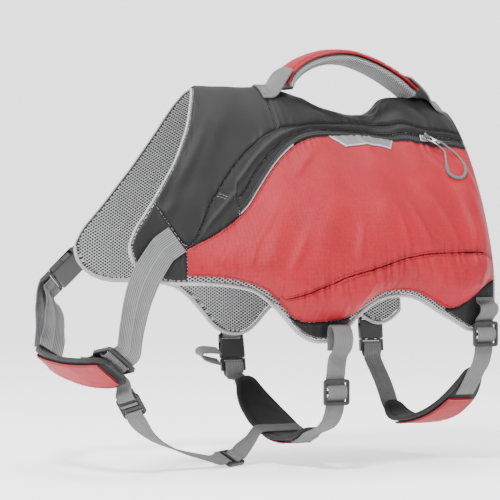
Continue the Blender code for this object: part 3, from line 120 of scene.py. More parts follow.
def unit(vectors):
    """Vectors divided by their length."""
    return vectors / np.linalg.norm(vectors, axis=-1, keepdims=True)


def section_point(x, g):
    """Inner face of the hollow at x along the back and signed girth g from the ridge.

    Each half is a superellipse over a side that tucks in with the square of its depth, and the
    ridge moves all of it up or down. The girth along that line is found again by interpolation.
    """
    x, g = np.broadcast_arrays(np.asarray(x, float), np.asarray(g, float))
    width = smooth(x, [row[:2] for row in SECTIONS])[..., None]
    depth = smooth(x, [(row[0], row[2]) for row in SECTIONS])[..., None]
    turn = np.linspace(0, math.pi / 2, 60)
    below = np.linspace(4, 160, 40)
    across = np.concatenate([width * np.sin(turn) ** (2 / SECTION_POWER),
                             width - TUCK_IN * below**2], axis=-1)
    down = np.concatenate([depth * (1 - np.cos(turn) ** (2 / SECTION_POWER)),
                           depth + below], axis=-1)
    steps = np.hypot(np.diff(across), np.diff(down))
    girth = np.concatenate([np.zeros(steps.shape[:-1] + (1,)), np.cumsum(steps, axis=-1)], axis=-1)
    reach = np.abs(g)[..., None]
    i = np.clip((girth < reach).sum(axis=-1, keepdims=True) - 1, 0, girth.shape[-1] - 2)
    low, high = (np.take_along_axis(girth, i + k, -1) for k in (0, 1))
    t = (reach - low) / (high - low)
    y, drop = (np.take_along_axis(line, i, -1) * (1 - t) + np.take_along_axis(line, i + 1, -1) * t
               for line in (across, down))
    even = RIDGE_START - (x - RIDGE_START_X) * RIDGE_FALL
    ridge = even + (smooth(x, RIDGE) - even) * np.exp(-(g / DIP_REACH) ** 2)
    return np.stack([x, np.sign(g) * y[..., 0], ridge - drop[..., 0]], axis=-1)


def skin(x, g, out=0.0):
    """Point at x and signed girth g, moved out along the normal, a cross product of two steps."""
    step = 0.8
    along = section_point(x + step, g) - section_point(x - step, g)
    round_body = section_point(x, g + step) - section_point(x, g - step)
    normal = unit(np.cross(along, round_body))
    return section_point(x, g) + normal * np.asarray(out, float)[..., None]


# Spacer mesh lining
# One layer of light grey 3 mm spacer mesh, with open holes on a honeycomb, lines the whole jacket.
# It shows inside the hollow and as a strip under the pockets, and carries every other panel.
FRONT_X = -243.0
NECK_X = -150.0
REAR_X = 130.0
LINING_WALL = 3.0
TURN_DEPTH = 0.9
TURN_WIDTH = 1.3


def share_rows(count, width, tight=(0.0, 0.7, 1.6, 3.0)):
    """Places from 0 to width in millimetres: close rows near both edges, even rows between."""
    width = np.asarray(width, float)[..., None]
    squeeze = np.minimum(1, width / (4 * tight[-1]))
    edge = np.array(tight) * squeeze
    middle = edge[..., -1:] + (width - 2 * edge[..., -1:]) * np.linspace(0, 1, count)[1:-1]
    return np.concatenate([edge, middle, width - edge[..., ::-1]], axis=-1)


def outwards(side, *grids):
    """Grids of one flank, turned over on the left so that their faces look outwards."""
    return [grid[:, ::-1] for grid in grids] if side < 0 else list(grids)


def panel_grid(side, xs, low, high, count, gap=0.3, low_gap=None):
    """Places x and signed g between two lines of the cloth, and the distance to the nearest edge.

    A line that lies on the ridge is no edge there, because both halves of the panel join on it.
    """
    inner = np.where(low > 0.5, gap if low_gap is None else low_gap, 0.0)
    start = low + inner
    rows = share_rows(count, high - gap - start)
    g = start[:, None] + rows
    x = np.repeat(xs[:, None], g.shape[1], axis=1)
    ends = np.minimum(x - xs[0], xs[-1] - x)
    sides = np.minimum(np.where(inner[:, None] > 0, rows, 99), rows[:, -1:] - rows)
    x, g, edge = outwards(side, x, g, np.minimum(ends, sides))
    return x, side * g, edge


def both_halves(xs, low, high, count, gap=0.3):
    """Grids of a panel that lies across the ridge."""
    return [panel_grid(side, xs, low, high, count, gap) for side in (-1, 1)]


def grid_quads(rows, columns, closed=False):
    """Quads of a grid of points, row after row; closed joins each row's last point to its first."""
    i = np.arange(rows - 1)[:, None] * columns
    j = np.arange(columns if closed else columns - 1)[None, :]
    k = (j + 1) % columns
    return np.stack([i + j, i + columns + j, i + columns + k, i + k], axis=-1).reshape(-1, 4)


def placed(name, data):
    """New object in the scene."""
    made = bpy.data.objects.new(name, data)
    bpy.context.scene.collection.objects.link(made)
    return made


def piece(name, points, faces, places, looks, body="jacket", marks=None):
    """Mesh piece from points in millimetres, with a UV map in metres and marks for its material."""
    mesh = bpy.data.meshes.new(name)
    mesh.from_pydata((points * MM).tolist(), [], [list(face) for face in faces])
    corners = np.zeros(len(mesh.loops), int)
    mesh.loops.foreach_get("vertex_index", corners)
    mesh.uv_layers.new(name="cloth").data.foreach_set("uv", (places[corners] * MM).ravel())
    for key, values in (marks or {}).items():
        mesh.attributes.new(key, "FLOAT", "POINT").data.foreach_set("value", values.ravel())
    mesh.materials.append(looks)
    mesh.shade_smooth()
    made = placed(name, mesh)
    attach(made, body)
    return made


def weld(made, distance=0.02):
    """Join the points that lie together, such as those of two halves on the ridge."""
    made.modifiers.new("weld", "WELD").merge_threshold = distance * MM


def walled(made, wall, offset=-1):
    """Give a sheet its wall, grown inwards, or outwards where the offset is 1."""
    step = made.modifiers.new("wall", "SOLIDIFY")
    step.thickness = wall * MM
    step.offset = offset


def cloth(name, grids, lift, wall, looks, node):
    """Panel over the form: lift(x, g, edge) gives its outer face, and the wall grows inwards."""
    points, places, edges, faces = [], [], [], []
    count = 0
    area = 0.0
    for x, g, edge in grids:
        turned = TURN_DEPTH * np.exp(-(edge / TURN_WIDTH) ** 2)
        layer = skin(x, g, lift(x, np.abs(g), edge) - turned)
        quads = grid_quads(*x.shape)
        flat = layer.reshape(-1, 3)
        area += np.linalg.norm(np.cross(flat[quads[:, 2]] - flat[quads[:, 0]],
                                        flat[quads[:, 3]] - flat[quads[:, 1]]), axis=1).sum() / 2
        points.append(flat)
        places.append(np.stack([x, g], axis=-1).reshape(-1, 2))
        edges.append(edge.ravel())
        faces += (quads + count).tolist()
        count += len(flat)
    made = piece(name, np.concatenate(points), faces, np.concatenate(places), looks,
                 marks={"edge": np.concatenate(edges)})
    if len(grids) > 1:
        weld(made)
    walled(made, wall)
    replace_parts(made, node)
    area *= MM * MM
    length = run_along(layer[:, layer.shape[1] // 2])[-1] * MM
    width = np.linalg.norm(np.diff(layer, axis=1), axis=2).sum(axis=1).max() * MM * len(grids)
    if not 0.32 < area / (length * width) < 0.98:
        width = 1.1 * area / length


def add_node(tree, kind, **values):
    """Shader node of a kind, with its settings, sockets and links by name, or _0, _1 by number."""
    made = tree.nodes.new("ShaderNode" + kind)
    for key, value in values.items():
        if hasattr(made, key) and key not in made.inputs:
            setattr(made, key, value)
            continue
        socket = made.inputs[int(key[1:])] if key[0] == "_" else made.inputs[key.replace("_", " ")]
        if isinstance(value, bpy.types.NodeSocket):
            tree.links.new(value, socket)
        else:
            socket.default_value = value
    return made


def maths(tree, operation, *values):
    """Result of one step of arithmetic on numbers or sockets."""
    numbered = {f"_{k}": value for k, value in enumerate(values)}
    return add_node(tree, "Math", operation=operation, **numbered).outputs[0]


def vectors(tree, operation, *values, **named):
    """Result of one step on vectors; a length is a number."""
    numbered = {f"_{k}": value for k, value in enumerate(values)}
    made = add_node(tree, "VectorMath", operation=operation, **numbered, **named)
    return made.outputs["Value" if operation == "LENGTH" else "Vector"]


def wave(tree, place, pitch):
    """Sine wave along a place: the sine of 2 pi times place over pitch."""
    turns = maths(tree, "DIVIDE", place, pitch)
    return maths(tree, "SINE", maths(tree, "MULTIPLY", turns, 2 * math.pi))


def group(name, inputs, outputs):
    """Empty node group with float inputs (name, value) and outputs (name, kind)."""
    tree = bpy.data.node_groups.new(name, "ShaderNodeTree")
    for key, value in inputs:
        kind = "NodeSocketVector" if value is None else "NodeSocketFloat"
        socket = tree.interface.new_socket(key, in_out="INPUT", socket_type=kind)
        if value is not None:
            socket.default_value = value
    for key, kind in outputs:
        tree.interface.new_socket(key, in_out="OUTPUT", socket_type="NodeSocket" + kind)
    return tree, tree.nodes.new("NodeGroupInput").outputs, tree.nodes.new("NodeGroupOutput").inputs


def grouped(tree, inner, **values):
    """A node group placed in a material."""
    return add_node(tree, "Group", node_tree=inner, **values)


def honeycomb():
    """Holes at the points of two like lattices, one shifted by half a step both ways.

    The distance to the nearer lattice point, in steps, gives the hole and the rounded rib.
    """
    tree, given, out = group("honeycomb holes", [("Place", None), ("Pitch", 0.005), ("Open", 0.3)],
                             [("Hole", "Float"), ("Height", "Float")])
    scaled = vectors(tree, "DIVIDE", given["Place"], (1.0, 0.62, 1.0))
    steps = vectors(tree, "SCALE", scaled, Scale=maths(tree, "DIVIDE", 1.0, given["Pitch"]))
    reach = []
    for shift in (0.0, 0.5):
        moved = vectors(tree, "ADD", steps, (shift, shift, 0))
        middle = vectors(tree, "SUBTRACT", vectors(tree, "FRACTION", moved), (0.5, 0.5, 0))
        reach.append(vectors(tree, "LENGTH", vectors(tree, "MULTIPLY", middle, (1.0, 0.78, 0))))
    rib = add_node(tree, "MapRange", interpolation_type="SMOOTHSTEP",
                   Value=maths(tree, "MINIMUM", *reach), From_Max=given["Open"],
                   From_Min=maths(tree, "SUBTRACT", given["Open"], 0.07)).outputs[0]
    tree.links.new(maths(tree, "SUBTRACT", 1.0, rib), out["Hole"])
    tree.links.new(rib, out["Height"])
    return tree


def plain_weave():
    """Over and under threads: the product of two sine waves, across and along the cloth."""
    tree, given, out = group("plain weave", [("Place", None), ("Pitch", 0.0007)],
                             [("Height", "Float")])
    split = add_node(tree, "SeparateXYZ", _0=given["Place"]).outputs
    waves = [wave(tree, split[axis], given["Pitch"]) for axis in ("X", "Y")]
    tree.links.new(maths(tree, "MULTIPLY", *waves), out["Height"])
    return tree


def handled():
    """Uneven tone of used cloth: broad and fine noise, summed round 0.5."""
    tree, given, out = group("uneven tone", [("Place", None), ("Size", 30.0), ("Depth", 0.3)],
                             [("Tone", "Float"), ("Height", "Float")])
    broad, fine = (
        add_node(tree, "TexNoise", Vector=given["Place"], Scale=scale, Detail=detail).outputs[0]
        for scale, detail in ((given["Size"], 3.0),
                              (maths(tree, "MULTIPLY", given["Size"], 14.0), 2.0)))
    centred = maths(tree, "SUBTRACT", maths(tree, "ADD", broad, fine), 1.0)
    tree.links.new(maths(tree, "MULTIPLY_ADD", centred, given["Depth"], 0.5), out["Tone"])
    tree.links.new(broad, out["Height"])
    return tree


HONEYCOMB = honeycomb()
PLAIN_WEAVE = plain_weave()
UNEVEN_TONE = handled()


def new_material(name, roughness, sheen=0.0):
    """Cloth material with its Principled node and the piece's own UV map, in metres."""
    made = bpy.data.materials.new(name)
    made.use_nodes = True
    shader = made.node_tree.nodes["Principled BSDF"]
    shader.inputs["Roughness"].default_value = roughness
    shader.inputs["Specular IOR Level"].default_value = 0.3
    if sheen:
        shader.inputs["Sheen Weight"].default_value = sheen
        shader.inputs["Sheen Roughness"].default_value = 0.4
    place = add_node(made.node_tree, "UVMap", uv_map="cloth")
    return made, made.node_tree, shader, place.outputs[0]


def blended(tree, factor, *colours):
    """Colour between two others, each three numbers or a socket, by a factor from 0 to 1."""
    low, high = ((*colour, 1) if isinstance(colour, tuple) else colour for colour in colours)
    return add_node(tree, "Mix", data_type="RGBA", Factor=factor, _6=low, _7=high).outputs[2]


def tinted(tree, shader, tone, dark, light):
    """Base colour between two colours, by a tone from 0 to 1."""
    tree.links.new(blended(tree, tone, dark, light), shader.inputs["Base Color"])


def bumped(tree, shader, layers):
    """Normal from a chain of bumps: each layer is (height, distance in millimetres, strength)."""
    normal = None
    for height, distance, strength in layers:
        step = add_node(tree, "Bump", Height=height, Distance=distance * MM, Strength=strength)
        if normal:
            tree.links.new(normal, step.inputs["Normal"])
        normal = step.outputs[0]
    tree.links.new(normal, shader.inputs["Normal"])


def spacer_mesh(name, pitch):
    """Knitted mesh: light ribs round holes, which are painted near black as painted shade inside
    them.
    """
    made, tree, shader, place = new_material(name, 0.85, sheen=0.05)
    holes = grouped(tree, HONEYCOMB, Place=place, Pitch=pitch * MM, Open=0.29)
    tone = grouped(tree, UNEVEN_TONE, Place=place, Size=60.0, Depth=0.5)
    shade = add_node(tree, "MapRange", Value=tone.outputs["Tone"], To_Min=0.0, To_Max=0.2)
    # Painted shade: the holes take the near black colour for the shade inside them; the uneven tone
    # darkens the ribs a little at random.
    cover = maths(tree, "MAXIMUM", holes.outputs["Hole"], shade.outputs[0])
    tinted(tree, shader, cover, (0.50, 0.505, 0.51), (0.022, 0.022, 0.024))
    knit = grouped(tree, PLAIN_WEAVE, Place=place, Pitch=0.0011)
    bumped(tree, shader, [(holes.outputs["Height"], 1.2, 1.0), (knit.outputs["Height"], 0.08, 0.5)])
    return made


MESH_LOOKS = spacer_mesh("spacer mesh", 5.0)


def neck_line(x):
    """Girth of the neck edge, zero on the ridge behind it."""
    return np.where(x < NECK_X, np.maximum(smooth(x, NECK_EDGE), 0), 0.0)


def hem_line(x):
    """Girth of the lining's hem."""
    return smooth(x, HEM)


def columns(first, last, step=3.0, gap=0.3):
    """Places along x from one end of a panel to the other, closer together near both ends."""
    count = max(3, int(round((last - first) / step)))
    return first + gap + share_rows(count, last - first - 2 * gap)


LINING_COLUMNS = np.unique(np.concatenate([columns(FRONT_X, NECK_X, 2.4, 0.0),
                                           columns(NECK_X, REAR_X, 3.0, 0.0)]))
cloth("lining_mesh",
      both_halves(LINING_COLUMNS, neck_line(LINING_COLUMNS), hem_line(LINING_COLUMNS), 60, 0.0),
      lambda x, g, edge: np.full(x.shape, LINING_WALL), LINING_WALL - 0.2, MESH_LOOKS,
      "lining")


# Charcoal yoke and top panel
# Woven nylon in one layer: the yoke lies over the withers from the neck edge, and the top panel
# runs from it to the rear edge. Both are sewn down on the lining, and crease under the handle.
PANEL_OUT = 4.9
PANEL_WALL = 1.1
PANEL_PUCKERS = (9.0, 6.0, 0.5)
YOKE_FRONT_X = -216.0
YOKE_END_X = -80.0
YOKE_SEAM = (
    (-216, 132.5), (-204, 151.5), (-190, 172), (-161, 130.5), (-139, 101.5), (-123.5, 85.5),
    (-107, 72), (-91, 61.5), (-79, 56), (-53, 49), (-31, 39), (-12, 30), (5, 23), (35, 21),
    (61, 36), (91, 45), (106, 44), (130, 40),
)
YOKE_FOLDS = (
    (-176, 88, -0.62, 42, 6, 2.0),
    (-152, 70, -0.60, 40, 9, 1.4),
    (-206, 140, -0.9, 16, 5, 1.6),
)
TOP_FOLDS = (
    (40, 14, 0.9, 16, 5, 2.4),
    (56, 22, 1.2, 18, 6, 2.6),
    (-18, 20, -1.2, 26, 7, 1.6),
    (104, 24, 0.5, 20, 7, 1.8),
)


def folds(x, g, rows):
    """Sum of soft ridges; each one has a Gaussian profile and fades along its crest."""
    total = np.zeros(np.broadcast(x, g).shape)
    for centre_x, centre_g, lean, half_length, half_width, height in rows:
        size = math.hypot(1, lean)
        along = ((x - centre_x) * lean + (g - centre_g)) / size
        across = ((x - centre_x) - (g - centre_g) * lean) / size
        total += height * np.exp(-(along / half_length) ** 2 - (across / half_width) ** 2)
    return total


def ripples(x, g, size, height):
    """Soft dents of used cloth: five sine waves in their own directions, bent by another one."""
    bend = np.sin(x / size * 0.9 + 1.3 * np.sin(g / size * 0.7))
    total = np.zeros(np.broadcast(x, g).shape)
    for k, turn in enumerate((0.2, 0.9, 1.5, 2.2, 2.8)):
        reach = (x * math.cos(turn) + g * math.sin(turn)) / size * (1 + 0.37 * k)
        total += np.sin(reach + 1.7 * k + 1.1 * bend) / (1 + 0.5 * k)
    return height * total / 2


def puckers(along, edge, pitch, reach, height):
    """Short gathers beside a seam: an uneven sine wave along it, strongest just off the seam."""
    turns = along / pitch
    uneven = turns + 0.4 * np.sin(turns * 0.83) + 0.25 * np.sin(turns * 2.3 + 1)
    size = 0.6 + 0.4 * np.sin(turns * 0.61 + 1)
    return height * size * np.sin(2 * math.pi * uneven) * np.exp(-((edge - 2) / reach) ** 2)


def woven_nylon(name, dark, light, roughness, sheen, pitch=0.75, check=0.0):
    """Plain-woven nylon with an uneven tone; check is the pitch of its stronger square threads."""
    made, tree, shader, place = new_material(name, roughness, sheen=sheen)
    tone = grouped(tree, UNEVEN_TONE, Place=place, Size=24.0, Depth=0.55).outputs
    weave_height = grouped(tree, PLAIN_WEAVE, Place=place, Pitch=pitch * MM).outputs["Height"]
    shade = maths(tree, "MULTIPLY_ADD", weave_height, 0.13, tone["Tone"])
    layers = [(tone["Height"], 1.0, 0.35), (weave_height, 0.06, 0.6)]
    if check:
        threads = add_node(tree, "TexBrick", Vector=place, Scale=1.0, offset=0.0,
                           Color1=(0, 0, 0, 1), Color2=(0, 0, 0, 1), Mortar=(1, 1, 1, 1),
                           Mortar_Size=0.08 * check * MM, Mortar_Smooth=0.8,
                           Brick_Width=check * MM, Row_Height=check * MM).outputs["Fac"]
        shade = maths(tree, "MULTIPLY_ADD", threads, -0.22, shade)
        layers.append((threads, 0.15, 0.5))
    tinted(tree, shader, shade, dark, light)
    bumped(tree, shader, layers)
    return made


CHARCOAL = woven_nylon("charcoal nylon", (0.0022, 0.0022, 0.0023), (0.0085, 0.0085, 0.0090), 0.6,
                       0.02)


def gathers(along, away, pitch, reach, height):
    """Round crests between sharp valleys, at uneven distances, that fade away from a seam."""
    turns = along / pitch + 0.35 * np.sin(along / pitch * 0.9) + 0.2 * np.sin(along / pitch * 2.1)
    size = 0.65 + 0.35 * np.sin(along / pitch * 0.53 + 2)
    crest = np.abs(np.sin(math.pi * turns)) ** 0.8 - 0.62
    return height * size * crest * np.exp(-(away / reach) ** 2)


def yoke_line(x):
    """Girth of the seam between the charcoal top and the gusset."""
    return smooth(x, YOKE_SEAM)


def charcoal_lift(rows):
    """Outer face of a charcoal panel: its creases, fine dents, and gathers along its seams."""
    def lift(x, g, edge):
        inside = np.clip(edge / 6, 0, 1)
        return (PANEL_OUT + folds(x, g, rows) * np.clip(edge / 3, 0, 1)
                + ripples(x, g, 13.0, 0.55) * inside + puckers(x, edge, *PANEL_PUCKERS))
    return lift


def charcoal(name, node, grids, lift):
    """Panel cut from the charcoal nylon."""
    cloth(name, grids, lift, PANEL_WALL, CHARCOAL, node)


def top_lift(x, g, edge):
    """Outer face of the top panel, with the roll of cloth that hangs along the handle's dip."""
    crest = 13 - 11 * np.clip((x - 36) / 26, 0, 1) ** 1.5 + 3 * np.sin(x / 19)
    reach = np.clip((x + 48) / 22, 0, 1) * np.clip((70 - x) / 14, 0, 1)
    off = np.abs(g) - crest
    roll = 2.1 * np.exp(-(off / 3.0) ** 2) - 1.1 * np.exp(-((off - 5.6) / 1.6) ** 2)
    return charcoal_lift(TOP_CREASES)(x, g, edge) + roll * reach * np.clip(edge / 4, 0, 1)


TOP_CREASES = TOP_FOLDS + ((-44, 10, -2.2, 20, 4, 1.6), (66, 6, 2.0, 18, 4, 1.8),
                           (88, 30, 0.9, 20, 4, 1.6), (112, 12, 0.5, 18, 5, 1.4))
YOKE_COLUMNS = columns(YOKE_FRONT_X, YOKE_END_X, 1.9)
charcoal("yoke_cloth", "yoke",
         both_halves(YOKE_COLUMNS, neck_line(YOKE_COLUMNS), yoke_line(YOKE_COLUMNS), 46),
         charcoal_lift(YOKE_FOLDS))
TOP_COLUMNS = columns(YOKE_END_X, REAR_X, 1.9)
charcoal("top_cloth", "top_panel",
         both_halves(TOP_COLUMNS, 0 * TOP_COLUMNS, yoke_line(TOP_COLUMNS), 24), top_lift)


# Charcoal chest panels, gussets and hem tabs
# The same nylon: a panel on each side of the chest, a gusset between the yoke and the zip, and
# two short tabs on each hem, where the belly bands are sewn in.
APEX_X = -190.0
ZIP_START_X = -136.0
ZIP_BAND = ((-140, 16), (-115, 19), (-93, 15), (-70, 11), (-30, 10), (130, 11))
EDGE_STRIP = 3.0
GUSSET_PUCKERS = (8.0, 4.0, 0.35)
POCKET_TOP = (
    (-190, 176), (-177, 170.5), (-163.5, 164.5), (-142, 151), (-127, 138), (-113, 120),
    (-94, 97), (-75.5, 80), (-54, 66), (-31, 56.5), (2, 47), (32, 46), (49, 53), (72, 61),
    (89, 63), (130, 58),
)
POCKET_HEM = (
    (-190, 200.5), (-165, 203), (-148, 206), (-130, 211.5), (-114, 219.5), (-102, 231),
    (-91, 242.5), (-80, 247), (-61, 247), (-38, 243.5), (-31.5, 241), (-20, 233), (-8, 223.5),
    (2, 218), (15, 214.5), (30, 213.5), (45, 216), (59, 221), (73.5, 227), (86, 226),
    (102, 216), (118, 203), (130, 195),
)
CROSS_SEAM = (
    (-109, 227), (-90.5, 222.5), (-54, 209), (-14, 198.5), (25, 186.5), (43, 183),
    (79, 179), (115, 176), (130, 175),
)


def strip_width(x):
    """Width of the strip between the pocket's hem and the lining's."""
    hem = smooth(x, HEM)
    strip = np.maximum(EDGE_STRIP, hem - smooth(x, POCKET_HEM))
    room = 0.3 * (hem - smooth(x, NECK_EDGE))
    return np.where(x < APEX_X, np.minimum(EDGE_STRIP, room), strip)


def pocket_top_line(x):
    """Girth of the pocket's top edge, below the zip."""
    return smooth(x, POCKET_TOP)


def zip_top_line(x):
    """Girth of the zip tape's upper edge."""
    return pocket_top_line(x) - np.interp(x, *np.array(ZIP_BAND, float).T)


def gusset_low_line(x):
    """Girth of the gusset's upper edge, which leaves the zip at least 6 mm of cloth."""
    return np.where(x >= ZIP_START_X, np.minimum(yoke_line(x), zip_top_line(x) - 6), yoke_line(x))


def pocket_hem_line(x):
    """Girth of the pocket's lower edge."""
    return hem_line(x) - strip_width(x)


def gusset_lift(x, g, edge):
    """Outer face of the gusset, with one long soft fold along its middle."""
    middle = (gusset_low_line(x) + np.where(x < ZIP_START_X, pocket_top_line(x),
                                            zip_top_line(x))) / 2
    fold = 1.3 * np.exp(-((g - middle - 1) / 3.2) ** 2) * np.clip((x + 180) / 20, 0, 1)
    return (PANEL_OUT + fold * np.clip(edge / 4, 0, 1) + ripples(x, g, 9.0, 0.3) *
            np.clip(edge / 5, 0, 1) + puckers(x, edge, *GUSSET_PUCKERS))


SIDES = ((-1, "L"), (1, "R"))
CHEST_COLUMNS = columns(FRONT_X, APEX_X, 1.6)
GUSSET_COLUMNS = columns(APEX_X, REAR_X, 1.8)
for side, suffix in SIDES:
    start = np.where(CHEST_COLUMNS < YOKE_FRONT_X, neck_line(CHEST_COLUMNS),
                     np.maximum(yoke_line(CHEST_COLUMNS), neck_line(CHEST_COLUMNS)))
    charcoal("chest_cloth_" + suffix, "chest_panel_" + suffix,
             [panel_grid(side, CHEST_COLUMNS, start, hem_line(CHEST_COLUMNS), 30, 1.3)],
             charcoal_lift(()))
    end = np.where(GUSSET_COLUMNS < ZIP_START_X, pocket_top_line(GUSSET_COLUMNS),
                   zip_top_line(GUSSET_COLUMNS))
    charcoal("gusset_cloth_" + suffix, "gusset_" + suffix,
             [panel_grid(side, GUSSET_COLUMNS, gusset_low_line(GUSSET_COLUMNS), end, 18)],
             gusset_lift)
    for node, first, last in (("tab_front_", -93, -31), ("tab_rear_", 74, REAR_X)):
        xs = columns(first, last, 1.8)
        charcoal(node + "cloth_" + suffix, node + suffix,
                 [panel_grid(side, xs, pocket_hem_line(xs), hem_line(xs), 8, 1.3, 0.3)],
                 charcoal_lift(()))


# Red flank pockets
# Thin red nylon with a fine square of stronger threads, cut fuller than the lining under it, so
# that it stands away over its soft filling, gathers along its hem and puckers beside each seam.
LOWER_PANEL_X = -106.0
POCKET_WALL = 2.0
POCKET_IN = 3.6
BULGE = 25.0
BULGE_FRONT = 120.0
BULGE_REAR = 30.0
BULGE_RISE = 0.75
BULGE_TUCK = 10
BULGE_PEAK = 0.77
SEAM_DENT = 3.0
SEAM_DENT_WIDTH = 7.0
POCKET_FOLDS = (
    (-96, 231, 0.9, 14, 5, 2.2),
    (-74, 233, 0.5, 16, 6, 2.6),
    (-52, 231, 0.1, 18, 6, 2.4),
    (-30, 226, -0.4, 17, 6, 2.8),
    (-10, 212, -0.3, 14, 5, 2.6),
    (8, 205, -0.1, 14, 5, 3.0),
    (24, 203, 0.1, 13, 5, 3.2),
    (39, 204, 0.25, 14, 5, 3.2),
    (54, 208, 0.35, 16, 5, 3.0),
    (70, 209, 0.3, 18, 6, 2.6),
    (92, 200, -0.3, 18, 7, 2.4),
    (-150, 184, -0.8, 26, 8, 2.2),
    (-118, 190, -0.5, 34, 10, 3.0),
    (-62, 168, -0.4, 34, 13, 2.6),
    (8, 150, 0.1, 32, 14, 2.2),
    (62, 140, 0.3, 36, 13, 2.4),
    (104, 120, 0.2, 40, 10, 2.4),
)
BUSIEST_X = 32.0
HEM_GATHERS = (12.5, 24.0, 3.2)
SEAM_GATHERS = (9.5, 9.0, 2.0)
POCKET_PUCKERS = (7.5, 8.0, 1.15)
FINE_FOLD_HEIGHT = 1.9
FINE_FOLDS = (
    (-84, 214, 0.9, 12, 2.6, 1.0), (-66, 226, 0.6, 13, 2.4, 1.2), (-44, 228, 0.15, 14, 2.4, 1.3),
    (-22, 218, -0.5, 14, 2.6, 1.3), (0, 208, -0.2, 12, 2.2, 1.3), (16, 206, 0.1, 12, 2.0, 1.5),
    (31, 204, 0.15, 13, 2.0, 1.6), (46, 206, 0.25, 13, 2.2, 1.5), (62, 212, 0.35, 15, 2.4, 1.4),
    (80, 206, 0.1, 14, 2.6, 1.1), (104, 194, -0.3, 14, 3.0, 1.2), (-136, 196, -0.4, 16, 3.0, 1.1),
    (-160, 190, -0.6, 14, 3.0, 1.0), (20, 168, 0.2, 20, 3.5, 1.0), (40, 160, 0.35, 24, 4.0, 1.3),
    (-30, 182, -0.3, 20, 4.0, 1.0), (70, 152, 0.4, 22, 4.0, 1.2), (-92, 190, -0.6, 26, 4.5, 1.1),
    (-120, 164, -0.7, 28, 4.0, 0.9), (98, 150, 0.1, 24, 4.0, 1.2), (114, 96, 0.2, 24, 4.0, 1.1),
    (84, 86, 0.8, 16, 4.0, 1.0), (-66, 96, -0.9, 16, 4.0, 0.9), (10, 64, 0.1, 14, 5.0, 0.8),
)


def crossed(x):
    """Share of the cross seam at x: it starts at the lower panel's tip, and is whole 20 mm on."""
    return np.clip((x - LOWER_PANEL_X) / 20, 0, 1)


def pocket_out(x, g):
    """Height of the pocket's inner face over the lining at girth g (no sign)."""
    top = pocket_top_line(x)
    hem = pocket_hem_line(x)
    t = np.clip((g - top) / (hem - top), 0, 1)
    profile = t**BULGE_RISE * (1 - t**BULGE_TUCK) / BULGE_PEAK
    front = np.sin(math.pi / 2 * np.clip((x - APEX_X) / BULGE_FRONT, 0, 1))
    rear = np.sin(math.pi / 2 * np.clip((REAR_X - x) / BULGE_REAR, 0, 1))
    dent = SEAM_DENT * crossed(x) * np.exp(-((g - smooth(x, CROSS_SEAM)) / SEAM_DENT_WIDTH) ** 2)
    edge = np.clip(np.minimum(t, 1 - t) * 8, 0, 1) * np.clip(np.minimum(front, rear) * 2, 0, 1)
    return POCKET_IN + BULGE * profile * front * rear + (folds(x, g, POCKET_FOLDS) - dent) * edge


RED = woven_nylon("red nylon", (0.165, 0.0006, 0.006), (0.40, 0.0016, 0.015), 0.6, 0.015, 0.8, 3.4)


def pocket_lift(x, g, edge):
    """Outer face of the red cloth: the pocket's bulge, then creases, dents and gathers."""
    inside = np.clip(edge / 5, 0, 1)
    hem_away = pocket_hem_line(x) - g
    seam_away = np.abs(g - smooth(x, CROSS_SEAM))
    busy = 0.35 + 0.65 * np.exp(-((x - BUSIEST_X) / 62) ** 2)
    gathered = (gathers(x + 0.25 * hem_away, hem_away, *HEM_GATHERS) * busy
                + gathers(x + 9, seam_away, *SEAM_GATHERS) * crossed(x))
    soft = (FINE_FOLD_HEIGHT * folds(x, g, FINE_FOLDS) + ripples(x, g, 16.0, 0.9)
            + ripples(g + 40, x, 6.5, 0.22))
    return (pocket_out(x, g) + POCKET_WALL + gathered * np.clip(edge / 2.5, 0, 1)
            + soft * inside + puckers(x, edge, *POCKET_PUCKERS))


UPPER_COLUMNS = columns(APEX_X, REAR_X, 1.6)
LOWER_COLUMNS = columns(LOWER_PANEL_X, REAR_X, 1.5)


def cross_line(x):
    """Girth of the seam across the pocket, at least 6 mm above its hem."""
    return np.minimum(smooth(x, CROSS_SEAM), pocket_hem_line(x) - 6)


for side, suffix in SIDES:
    end = np.where(UPPER_COLUMNS > LOWER_PANEL_X, cross_line(UPPER_COLUMNS),
                   pocket_hem_line(UPPER_COLUMNS))
    cloth("pocket_cloth_" + suffix,
          [panel_grid(side, UPPER_COLUMNS, pocket_top_line(UPPER_COLUMNS), end, 72)],
          pocket_lift, 1.4, RED, "pocket_" + suffix)
    cloth("pocket_hem_cloth_" + suffix,
          [panel_grid(side, LOWER_COLUMNS, cross_line(LOWER_COLUMNS),
                      pocket_hem_line(LOWER_COLUMNS), 26)],
          pocket_lift, 1.4, RED, "pocket_lower_" + suffix)


# Reflective patches
# A trapezoid of silver grey reflective tape on each pocket, under its top edge, sewn down round
# a lighter border. It is left bare.
PATCH_TOP = (-27.0, 47.0)
PATCH_BOTTOM = (-14.0, 38.0)
PATCH_MARGIN = 1.5
PATCH_HEIGHT = 18.0
PATCH_WALL = 0.9
PATCH_OUT = 1.9


def marked(tree, name, low, high):
    """Smooth step from 0 to 1 as a piece's own mark goes from low to high."""
    mark = add_node(tree, "Attribute", attribute_name=name).outputs["Fac"]
    return add_node(tree, "MapRange", interpolation_type="SMOOTHSTEP", Value=mark, From_Min=low,
                    From_Max=high).outputs[0]


